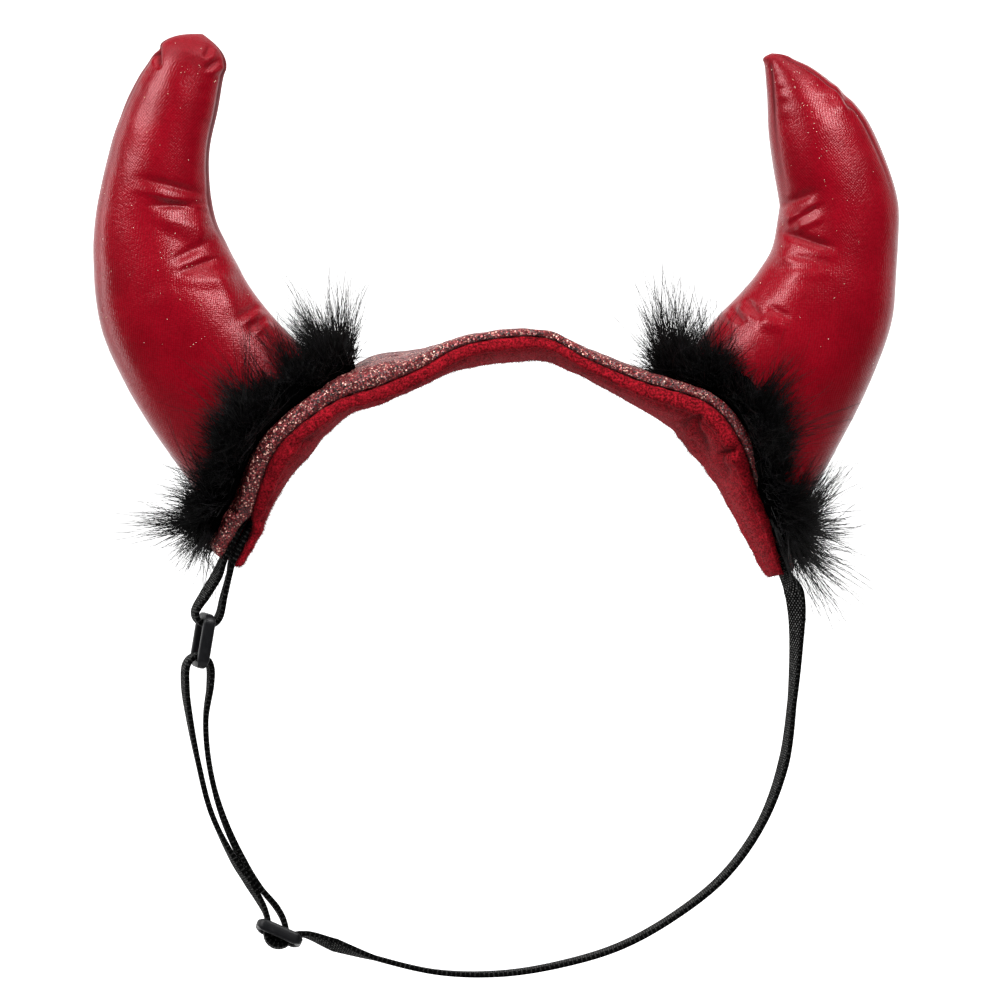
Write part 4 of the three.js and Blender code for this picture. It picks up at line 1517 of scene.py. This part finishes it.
@dataclass
class Fitting:
    """A flat plastic fitting of the elastic: a rounded frame, with a middle bar on the slider.

    Attributes:
        name: its node.
        middle: its middle, in mm.
        slope: direction of its length in the XZ plane, in degrees.
        yaw: how far its bars turn away from Y, in degrees.
        length, width, bar, thick, corner: sizes in mm; thick is that of the bars the elastic goes round.
        deep: thickness of the two long sides, in mm.
        bars: 2 for the ring, 3 for the slider.
        SIDES, SQUARE: corners of a bar's section and its exponent.
        CORNER: points round each corner of the frame.
    """

    name: str
    middle: tuple[float, float, float]
    slope: float
    yaw: float
    length: float
    width: float
    bar: float
    thick: float
    deep: float
    corner: float
    bars: int
    SIDES: ClassVar[int] = 24
    SQUARE: ClassVar[float] = 0.55
    CORNER: ClassVar[int] = 10

    @property
    def axes(self) -> tuple[Array, Array, Array]:
        """The fitting's own directions.

        Returns:
            Along the fitting, along its bars and out of its face.
        """
        slope, yaw = math.radians(self.slope), math.radians(self.yaw)
        along = np.array([math.cos(slope), 0.0, math.sin(slope)])
        flat = np.array([-along[2], 0.0, along[0]])
        bars = Y_AXIS * math.cos(yaw) - flat * math.sin(yaw)
        return along, bars, unit(np.cross(along, bars))

    def at(self, along: float, face: float) -> tuple[Array, Array]:
        """A point of the elastic in the fitting, and the elastic's width direction there."""
        ways = self.axes
        return np.array(self.middle) + ways[0] * along + ways[2] * face, ways[1]

    def wrap(
        self, bar: float, radius: float, begin: float, end: float, steps: int
    ) -> list[tuple[Array, Array]]:
        """The elastic's way round a bar.

        Args:
            bar: the bar's place along the fitting, in mm.
            radius: of the elastic's middle round it, in mm.
            begin, end: angles in degrees.
            steps: number of steps between them.

        Returns:
            Points and width directions.
        """
        turns = np.radians(np.linspace(begin, end, steps + 1))
        return [self.at(bar + radius * math.cos(a), radius * math.sin(a)) for a in turns]

    def section(self) -> tuple[Array, Array]:
        """Corners (sign |cos|^SQUARE, sign |sin|^SQUARE) of a softly squared section of half size one."""
        a = np.linspace(0, 2 * np.pi, self.SIDES, endpoint=False)
        return power(np.cos(a), self.SQUARE), power(np.sin(a), self.SQUARE)

    def frame_rings(self) -> Array:
        """Rounded rectangle swept with a softly squared section, deeper along its two long sides.

        Returns:
            Sections by corners by 3, in mm.
        """
        along, bars, face = self.axes
        inset = 0.5 * np.array([self.length - self.bar, self.width - self.bar]) - self.corner
        signs = np.array([[1, 1], [-1, 1], [-1, -1], [1, -1]])
        arcs = np.radians(np.linspace(0, 90, self.CORNER))[None] + np.radians([0, 90, 180, 270])[:, None]
        out = np.stack([np.cos(arcs), np.sin(arcs)], -1)
        path = (signs * inset)[:, None] + self.corner * out
        path, out = (np.concatenate([t.reshape(-1, 2), t[0, :1]]) for t in (path, out))
        wide, tall = self.section()
        tall = 0.5 * (self.thick + (self.deep - self.thick) * out[:, 1:] ** 2) * tall
        flat = path[:, None] + out[:, None] * (0.5 * self.bar * wide)[:, None]
        return np.array(self.middle) + flat[..., :1] * along + flat[..., 1:] * bars + tall[..., None] * face

    def bar_rings(self) -> Array:
        """The slider's middle bar, a straight sweep of a section a little thinner than the frame's.

        Returns:
            Sections by corners by 3, in mm.
        """
        along, bars, face = self.axes
        wide, tall = self.section()
        section = 0.5 * self.bar * wide[:, None] * along + 0.45 * self.thick * tall[:, None] * face
        place = np.linspace(-0.5, 0.5, 12)[:, None, None] * (self.width - self.bar) * bars
        return np.array(self.middle) + place + section[None]

    def build(self, material: bpy.types.Material) -> bpy.types.Object:
        """Makes the fitting.

        Args:
            material: its finish.

        Returns:
            The piece.
        """
        skin = Skin.tube(self.frame_rings())
        if self.bars == 3:
            skin = skin.joined(Skin.tube(self.bar_rings()))
        return stand_in(skin.piece(f"{self.name}_moulding", material), self.name)


def leaning(rows: Rows) -> list[tuple[Array, Array]]:
    """Points x, y, z of the elastic with its width direction (leanX, 1, leanZ)."""
    return [(np.array(row[:3]), unit(np.array([row[3], 1.0, row[4]]))) for row in rows]


@dataclass
class Elastic:
    """Flat woven elastic along a course of points with a width direction each.

    Attributes:
        name: its node.
        course: points and width directions, in mm.
        width, thick: its size in mm.
        PACE: distance of its sections, in mm.
        SIDES: corners of a section.
        RIBS, RIB: number of ribs on a flat, and their height as a share of the thickness.
    """

    name: str
    course: list[tuple[Array, Array]]
    width: float = 6.35
    thick: float = 1.4
    PACE: ClassVar[float] = 0.8
    SIDES: ClassVar[int] = 32
    RIBS: ClassVar[int] = 7
    RIB: ClassVar[float] = 0.07

    def line(self) -> tuple[Array, Array]:
        """Centripetal Catmull-Rom line through the course, and width directions square to it.

        Between points b and c with knots of sqrt(distance) the tangents are
        ((b - a)/da - (c - a)/(da + db) + (c - b)/db) db at b and alike at c, joined by a cubic.

        Returns:
            Points in mm and unit directions.
        """
        points = np.array([p for p, _ in self.course])
        widths = np.array([w for _, w in self.course])
        for k in range(1, len(widths)):
            if widths[k] @ widths[k - 1] < 0:
                widths[k] = -widths[k]
        ends = np.concatenate([[2 * points[0] - points[1]], points, [2 * points[-1] - points[-2]]])
        line, sides = [], []
        for k in range(len(points) - 1):
            a, b, c, d = ends[k:k + 4]
            da, db, dc = np.sqrt(np.maximum(np.linalg.norm([b - a, c - b, d - c], axis=1), 1e-4))
            m = ((b - a) / da - (c - a) / (da + db) + (c - b) / db) * db
            n = ((c - b) / db - (d - b) / (db + dc) + (d - c) / dc) * db
            steps = max(2, round(float(np.linalg.norm(c - b)) / self.PACE))
            t = np.linspace(0, 1, steps, endpoint=k == len(points) - 2)[:, None]
            line.append(b + m * t + (3 * (c - b) - 2 * m - n) * t**2 + (2 * (b - c) + m + n) * t**3)
            sides.append(widths[k] * (1 - t) + widths[k + 1] * t)
        path, side = np.concatenate(line), np.concatenate(sides)
        along = unit(np.gradient(path, axis=0))
        return path, unit(side - along * dot(side, along)[:, None])

    def build(self, material: bpy.types.Material) -> tuple[bpy.types.Object, Array, float]:
        """Makes the elastic.

        Its section is the superellipse (w/2 |cos|^0.45, t/2 |sin|^0.38) with shallow ribs along both flats.

        Args:
            material: its finish.

        Returns:
            The piece, its line and its length in metres.
        """
        path, side = self.line()
        face = np.cross(unit(np.gradient(path, axis=0)), side)
        a = np.linspace(0, 2 * np.pi, self.SIDES, endpoint=False)
        across, up = 0.5 * self.width * power(np.cos(a), 0.45), 0.5 * self.thick * power(np.sin(a), 0.38)
        up = up * (1 + self.RIB * np.cos(across / (0.5 * self.width) * self.RIBS * np.pi))
        rings = path[:, None] + side[:, None] * across[:, None] + face[:, None] * up[:, None]
        arc = arc_length(path)
        uv = np.stack(np.broadcast_arrays(arc[:, None], across[None, :]), -1)
        piece = stand_in(Skin.tube(rings, uv).piece(f"{self.name}_elastic", material), self.name)
        return piece, path * MM, float(arc[-1]) * MM


@dataclass
class ChinStrap:
    """The elastic under the chin with its loop, ring and slider.

    Attributes:
        band: the headband whose ends hold it.
        ring, slider: the fittings.
        slack: room of the elastic in the ring, in mm.
        ring_bar, bar: distance of the ring's and the slider's end bars from their middles, in mm.
        over, hug: distance of the elastic from the middle of a ring's bar and of the slider's, in mm.
        layer: distance of two layers of elastic, in mm.
        apart: distance of the loop's ends from the seam's plane, in mm.
        FALL, RISE, RETURN, LOOP_LEFT, LOOP_RIGHT: x, y, z, leanX, leanZ of the free courses: down to the
            slider, up to the ring, back down, and the loop's two branches.
    """

    band: Headband
    ring: Fitting
    slider: Fitting
    slack: float = 1.2
    ring_bar: float = 6.2
    bar: float = 5.55
    over: float = 2.1
    hug: float = 1.9
    layer: float = 1.55
    apart: float = 1.15

    FALL: ClassVar[Rows] = (
        (78.2, -3.6, -61.0, -1.2, 0.2), (79.0, -3.0, -65.5, -0.9, 0), (79.1, -2.2, -73.4, -0.5, 0),
        (78.0, -1.2, -90.4, -0.18, 0), (75.7, -0.5, -107.1, -0.27, 0.05), (69.8, 0, -123.0, -0.14, 0.07),
        (60.0, 0, -136.7, -0.1, 0.1), (46.9, 0, -147.3, -0.05, 0.08), (32.5, 0, -155.3, -0.03, 0.07),
        (16.8, 0, -160.1, 0, 0.04), (0.7, -0.2, -162.6, 0, 0), (-15.8, -0.6, -162.2, 0, -0.06),
        (-31.9, -1.2, -158.5, 0, -0.12), (-43.0, -1.8, -154.9, -0.2, -0.6),
    )
    RISE: ClassVar[Rows] = (
        (-65.4, -2.1, -138.9, -0.3, -0.2), (-69.6, -2.2, -132.5, -0.22, -0.14),
        (-75.7, -2.5, -119.8, -0.04, -0.02), (-79.0, -2.8, -107.1, -0.1, 0),
        (-81.5, -3.2, -94.3, -0.2, 0), (-82.5, -3.5, -86.5, -0.28, 0.03),
    )
    RETURN: ClassVar[Rows] = (
        (-75.9, -3.6, -86.0, -0.22, 0.03), (-77.1, -3.3, -94.9, -0.1, 0), (-76.2, -2.8, -107.1, -0.06, 0),
        (-73.0, -2.5, -119.8, -0.16, -0.06), (-67.4, -2.2, -132.5, -0.22, -0.14),
        (-62.8, -2.1, -139.6, -0.1, -0.1),
    )
    LOOP_LEFT: ClassVar[Rows] = ((-74.0, -4.2, -56.8, -0.36, 0.2), (-77.3, -3.9, -62.2, -0.36, 0.2))
    LOOP_RIGHT: ClassVar[Rows] = ((-72.3, -3.9, -62.5, -0.2, 0.06), (-70.9, -4.2, -57.0, -0.12, 0.06))

    def strap(self) -> Elastic:
        """The long elastic, from the right end round the slider's bar, round the ring and back.

        Returns:
            The elastic with its course.
        """
        ring, slider, hug, slack = self.ring, self.slider, self.hug, self.slack
        course = [self.band.sewn(at, -3.8, 0.0) for at in (17.1, 17.9)]
        course += leaning(self.FALL) + [slider.at(self.bar + 0.6, hug + 0.5)]
        course += slider.wrap(0.0, hug + self.layer, 10, -190, 6) + [slider.at(-self.bar + 0.2, hug + 1.5)]
        course += leaning(self.RISE) + ring.wrap(self.ring_bar + slack, self.over + slack, 262, 98, 4)
        course += leaning(self.RETURN) + [slider.at(-3.3, 5.9), slider.at(-0.2, 3.5)]
        course += slider.wrap(0.0, hug, 15, -180, 5) + [slider.at(-hug, 1.3)]
        return Elastic("strap", course)

    def loop(self) -> Elastic:
        """The short doubled elastic at the left end that carries the ring.

        Returns:
            The elastic with its course.
        """
        slack, begin, end = self.slack, 0.1, 1.3
        course = [self.band.sewn(at, -5.2, self.apart) for at in (end, begin)] + leaning(self.LOOP_LEFT)
        course += self.ring.wrap(-self.ring_bar - slack, self.over + slack, -82, 82, 4)
        course += leaning(self.LOOP_RIGHT) + [self.band.sewn(at, -5.2, -self.apart) for at in (begin, end)]
        return Elastic("strap_loop", course)

    def build(self, elastic: bpy.types.Material, plastic: bpy.types.Material) -> None:
        """Args:
            elastic: finish of the elastics.
            plastic: finish of the fittings.
        """
        fittings = [self.ring.build(plastic), self.slider.build(plastic)]
        strap, line, length = self.strap().build(elastic)
        wide = Elastic.width * MM
        LOG.info("strap: %.1f mm long", length / MM)
        loop, line, length = self.loop().build(elastic)
        LOG.info("strap_loop: %.1f mm long", length / MM)


@dataclass(frozen=True)
class Lamp:
    """A rectangular soft light that faces the headpiece.

    Attributes:
        name: its name.
        place: its middle, in metres.
        size: its width and height, in metres.
        watts: its power.
        AIM: the point that it faces, in metres.
    """

    name: str
    place: tuple[float, float, float]
    size: tuple[float, float]
    watts: float
    AIM: ClassVar[tuple[float, float, float]] = (0.0, 0.0, -0.02)

    def build(self) -> None:
        """Hangs the light in the scene."""
        data = bpy.data.lights.new(self.name, "AREA")
        data.shape, data.size, data.size_y, data.energy = "RECTANGLE", *self.size, self.watts
        lamp = bpy.data.objects.new(self.name, data)
        lamp.location = self.place
        lamp.rotation_euler = (Vector(self.AIM) - Vector(self.place)).to_track_quat("-Z", "Y").to_euler()
        bpy.context.scene.collection.objects.link(lamp)


@dataclass(frozen=True)
class Studio:
    """Camera, pale floor with a backdrop, and soft lights.

    Attributes:
        eye: the camera's place in metres; it looks along +Y.
        lens: its focal length in mm on a 36 mm sensor.
        floor, wall: height of the floor and depth of the wall, in metres.
        bend: radius between them, in metres.
        reach: half width of both, in metres.
        dim, seen: strength of the room's light, and of what the camera sees of it besides.
        LAMPS: soft boxes left, right, above and below, and edge lights beside the wall.
    """

    eye: tuple[float, float, float] = (0.00066, -1.2, -0.0371)
    lens: float = 163.0
    floor: float = -1.7
    wall: float = 2.6
    bend: float = 0.8
    reach: float = 4.0
    dim: float = 0.05
    seen: float = 0.75
    LAMPS: ClassVar[tuple[Lamp, ...]] = (
        Lamp("left_box", (-0.9, -0.68, 0.8), (0.6, 0.5), 18.5),
        Lamp("right_box", (0.55, -0.8, 0.85), (0.6, 0.45), 19.0),
        Lamp("top_box", (0.0, -0.1, 1.2), (1.2, 0.6), 6.0),
        Lamp("left_edge", (-1.2, 0.35, 0.1), (0.3, 1.3), 7.0),
        Lamp("right_edge", (1.2, 0.35, 0.1), (0.3, 1.3), 1.5),
        Lamp("low_box", (0.0, -0.5, -1.2), (1.4, 0.6), 2.0),
    )

    def camera(self) -> None:
        """Sets the camera at the photograph's viewpoint."""
        data = bpy.data.cameras.new("camera")
        data.lens, data.sensor_width = self.lens, 36.0
        data.clip_start, data.clip_end = 0.05, 20.0
        camera = bpy.data.objects.new("camera", data)
        camera.location = self.eye
        camera.rotation_euler = (0.5 * math.pi, 0.0, 0.0)
        bpy.context.scene.collection.objects.link(camera)
        bpy.context.scene.camera = camera

    def stage(self) -> None:
        """One pale sheet: a floor, a quarter turn up and a wall behind that glows."""
        turn = np.radians(np.linspace(0, 90, 16))
        curve = np.stack([np.sin(turn), -np.cos(turn)], -1) * self.bend
        profile = np.concatenate([
            [[y, self.floor] for y in (-self.reach, -0.5 * self.reach, 0.0, self.wall - self.bend - 0.1)],
            curve + [self.wall - self.bend, self.floor + self.bend], [[self.wall, 0.5], [self.wall, 3.0]]])
        x = np.linspace(-self.reach, self.reach, 9)
        grid = np.stack(np.broadcast_arrays(x[None], profile[:, :1], profile[:, 1:]), -1)
        index = np.arange(grid[..., 0].size).reshape(grid.shape[:2])
        quads = np.stack([index[:-1, :-1], index[:-1, 1:], index[1:, 1:], index[1:, :-1]], -1).reshape(-1, 4)
        tree = FinishTree("backdrop")
        paper = tree.blend(tree.noise(300.0), (0.8, 0.8, 0.8), (0.82, 0.82, 0.82))
        behind = tree.channels(tree.place())[1].rise(1.2, 2.2)
        glow = tree.blend(behind, (0.12, 0.12, 0.12), (1.0, 1.0, 1.0))
        material = tree.dressed(Base_Color=paper, Roughness=0.9, Emission_Color=glow, Emission_Strength=1.0,
                                Specular_IOR_Level=0.0)
        piece = Skin(grid.reshape(-1, 3) / MM, [quads]).piece("backdrop", material)

    def light(self) -> None:
        """Hangs the lamps in a dim room whose walls look pale."""
        for lamp in self.LAMPS:
            lamp.build()
        world = bpy.data.worlds.new("room")
        world.use_nodes = True
        shade = world.node_tree.nodes["Background"]
        ray = NodeGraph(world.node_tree).node("ShaderNodeLightPath", output="Is Camera Ray")
        feed(world.node_tree, shade.inputs["Color"], (1.0, 1.0, 1.0))
        feed(world.node_tree, shade.inputs["Strength"], self.dim + self.seen * ray)
        bpy.context.scene.world = world
        bpy.context.scene.view_settings.view_transform = "Standard"


# painted shade: the core is black and matt, so that it also stands in for the shade deep inside the down
CORE_FINISH = FeatherFinish(
    "marabou_shade", black=(0.0006, 0.0006, 0.0006), painted_sheen=(0.0012, 0.0012, 0.0012), roughness=0.8, gloss=0.0,
)
BAND = Headband()
RING = Fitting(
    "strap_ring", middle=(-77.9, -3.6, -74.2), slope=-99.4, yaw=15, length=14.6, width=12.0, bar=2.2,
    thick=2.2, deep=3.2, corner=1.6, bars=2,
)
SLIDER = Fitting(
    "strap_slider", middle=(-57.8, -2.0, -151.7), slope=-24.1, yaw=12, length=13.0, width=11.4, bar=1.9,
    thick=1.8, deep=3.2, corner=1.4, bars=3,
)
LEFT_HORN = Horn(
    "horn_left",
    BAND,
    rows=(
        (-73.2, -43.4, -39.0, -9.4, 31), (-89.6, -21.4, -56.6, 8.5, 33.5), (-101.2, -1.6, -65.2, 19.1, 32.5),
        (-105.6, 11.1, -68.8, 25.3, 31), (-106.8, 23.9, -71.8, 30.9, 29), (-106.4, 37.1, -75.1, 39.0, 26.5),
        (-103.2, 56.2, -76.3, 54.3, 23), (-97.4, 71.6, -74.1, 66.3, 20), (-90.2, 82.2, -72.5, 76.3, 15.5),
    ),
    dome=7.8,
    creases=(
        (-75.5, 42.5, -95.8, 47.1, 0.6, 1.0, 0.27, 2.5, 2.5, 1.5),
        (-75.4, 40.5, -92.5, 39.4, 0.6, 0.9, 0.22, 6.0, 1.8, 2.4),
        (-73.6, 31.4, -86.0, 24.0, 0.4, 1.2, 0.1, 3.0, 2.4, 1.5),
        (-73.4, 26.2, -84.5, 21.2, 0.6, 1.0, 0.12, 5.0, 1.5, 2.2),
        (-70.1, 24.4, -65.6, 11.1, 0.3, 1.6, 0.2, 2.8, 2.8, 2.8),
        (-62.4, 13.8, -68.2, 10.1, 0.6, 0.9, 0.32, 2.0, 1.4, 2.0),
        (-60.8, 11.1, -65.6, 6.9, 0.6, 0.9, 0.32, 2.0, 1.4, 2.0),
        (-86.3, 20.9, -93.9, 14.8, 0.0, 1.4, 0.06, 3.0, 3.0, 2.8),
        (-90.8, 84.4, -90.0, 76.5, 1.6, 0.7, 0.25, 1.6, 0.8, 2.8),
        (-73.0, 79.0, -77.0, 75.5, 0.7, 0.7, 0.4, 1.4, 1.0, 2.4),
        (-75.4, 82.9, -76.5, 79.0, 0.7, 0.7, 0.35, 1.2, 1.0, 2.4),
    ),
    dents=(
        (-83.0, 39.0, 8.0, 1.1), (-79.0, 27.0, 7.0, 0.9), (-93.0, 68.0, 8.0, 0.7), (-97.0, 56.0, 9.0, 0.8),
    ),
    seams=((Edge.INNER, 4.5, 9.0, 0.25, 0.3), (Edge.OUTER, 7.0, 9.0, 0.3, 0.3)),
    trail=((-82.8, 76.1), (-87.3, 27.0), (-76.2, 4.2), (-73.3, -4.5), (-77.5, 15.9)),
    seed=11,
)
RIGHT_HORN = Horn(
    "horn_right",
    BAND,
    rows=(
        (74.3, -48.4, 44.7, -8.9, 31), (88.1, -27.3, 55.8, 9.0, 33.5), (97.7, -7.7, 65.4, 18.6, 33),
        (104.3, 8.1, 70.6, 26.0, 31), (105.7, 21.2, 72.6, 30.5, 29), (106.1, 33.1, 73.8, 36.6, 27.5),
        (105.6, 43.7, 74.5, 42.9, 26.5), (100.2, 60.1, 72.1, 57.5, 23.5), (93.1, 70.0, 71.3, 68.1, 18.5),
        (84.1, 77.3, 70.9, 74.6, 12), (77.8, 80.2, 70.5, 79.2, 7),
    ),
    dome=2.2,
    creases=(
        (73.5, 39.6, 84.6, 43.6, 0.6, 1.1, 0.27, 3.6, 1.8, 1.5),
        (77.0, 37.4, 86.0, 39.3, 0.2, 1.0, 0.2, 3.0, 1.8, 1.8),
        (73.8, 32.9, 89.2, 27.4, 1.0, 1.2, 0.14, 6.0, 2.6, 1.7),
        (76.2, 26.2, 89.4, 23.7, 0.4, 1.2, 0.1, 3.5, 1.6, 2.2),
        (76.5, 27.0, 70.1, 13.3, 0.15, 1.5, 0.08, 3.6, 3.6, 2.8),
        (70.4, 13.0, 76.8, 9.6, 0.4, 1.0, 0.24, 3.0, 2.0, 2.4),
        (64.8, 15.4, 68.8, 9.9, 0.6, 0.9, 0.32, 1.8, 1.4, 2.4),
        (61.1, 13.8, 64.0, 8.8, 0.6, 0.9, 0.32, 1.6, 1.2, 2.4),
        (90.8, 74.2, 93.2, 64.9, 0.7, 0.8, 0.25, 1.6, 1.2, 2.8),
    ),
    dents=((80.0, 40.0, 7.0, 0.9), (81.0, 28.0, 8.0, 1.0), (87.0, 69.0, 7.0, 0.6), (93.5, 58.0, 8.0, 0.8)),
    seams=((Edge.INNER, 7.0, 9.6, 1.4, 0.3), (Edge.OUTER, 6.6, 10.0, 1.6, 0.5)),
    trail=(
        (78.3, 75.3), (78.8, 71.3), (80.3, 67.0), (82.0, 63.9), (83.0, 60.0), (84.6, 55.7), (85.3, 53.6),
        (85.8, 46.5),
    ),
    seed=23,
)
LEFT_GROWTH: Rows = (
    (0, 1.05, 1.4, -2, 42), (25, 0.95, 1.0, 15, 35), (60, 0.7, 0.8, 45, 28), (90, 0.66, 0.8, 50, 26),
    (120, 0.7, 0.8, 52, 26), (160, 0.9, 1.0, 60, 24), (180, 1.1, 1.3, 64, 24), (205, 1.05, 1.2, 62, 26),
    (235, 0.85, 1.2, 50, 34), (270, 0.78, 1.3, 46, 34), (300, 0.78, 1.1, 44, 34), (322, 0.65, 0.7, 34, 34),
    (340, 0.9, 0.9, 10, 36), (352, 1.05, 1.4, -2, 42), (360, 1.05, 1.4, -2, 42),
)
RIGHT_GROWTH: Rows = (
    (0, 1.45, 1.8, 40, 46), (25, 1.15, 1.2, 34, 40), (60, 0.7, 0.8, 45, 28), (90, 0.66, 0.8, 50, 26),
    (120, 0.7, 0.8, 52, 26), (160, 1.05, 1.1, 46, 34), (180, 1.4, 1.7, 36, 40), (205, 1.25, 1.4, 42, 36),
    (235, 0.9, 1.2, 50, 36), (270, 0.8, 1.3, 50, 36), (300, 0.95, 1.1, 50, 38), (322, 1.05, 1.0, 42, 42),
    (340, 1.25, 1.4, 38, 46), (352, 1.4, 1.8, 38, 46), (360, 1.45, 1.8, 40, 46),
)
LEFT_TRIM = Marabou(
    "marabou_left", LEFT_HORN, inner=0.2, outer=0.1, growth=LEFT_GROWTH, hang=-100.0, seed=41)
RIGHT_TRIM = Marabou(
    "marabou_right", RIGHT_HORN, inner=0.25, outer=0.2, growth=RIGHT_GROWTH, hang=-26.0, seed=42)
LINING_TUCKS: Rows = (
    (54.0, -15.9, 46.8, -18.2, 1.3, 0.8, 0.4, 2.2, 1.5, 2.4),
    (51.0, -16.0, 55.6, -27.2, 1.0, 0.9, 0.3, 2.0, 2.0, 2.4),
    (63.0, -24.6, 57.4, -26.0, 1.3, 0.8, 0.4, 2.0, 1.5, 2.4),
    (58.0, -25.2, 60.0, -32.5, 0.9, 0.9, 0.3, 2.0, 2.0, 2.4),
    (-55.0, -24.6, -44.7, -20.3, 0.7, 1.0, 0.2, 2.0, 2.0, 2.4),
)


def main() -> None:
    """Builds the headpiece on the frame."""
    logging.basicConfig(level=logging.INFO, format="%(asctime)s %(name)s %(message)s")
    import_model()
    studio = Studio()
    studio.camera()
    ChinStrap(BAND, RING, SLIDER).build(ElasticFinish().material(), PlasticFinish().material())
    cover = PaddedFace(BAND, Face.COVER, across=44, lumps=0.22, pucker=0.12, full=9.0, round=0.44)
    cover.build("headband_cover", GlitterKnitFinish().material(), 0.5)
    fleece = FleeceFinish().material()
    lining = PaddedFace(
        BAND, Face.LINING, across=52, lumps=0.16, pucker=0.2, full=4.0, round=0.36, creases=LINING_TUCKS)
    lining.build("headband_lining", fleece, 0.5)
    lining.nap("headband_nap", fleece, count=14000)
    finishes = (LeatheretteFinish(), FeatherFinish(), FleckFinish(), CORE_FINISH)
    leather, feather, gold, shade = (finish.material() for finish in finishes)
    for horn in (LEFT_HORN, RIGHT_HORN):
        horn.build(leather)
        horn.flecks(40, gold)
    for trim in (LEFT_TRIM, RIGHT_TRIM):
        trim.build(feather, shade)
    studio.stage()
    studio.light()


if __name__ == "__main__":
    main()
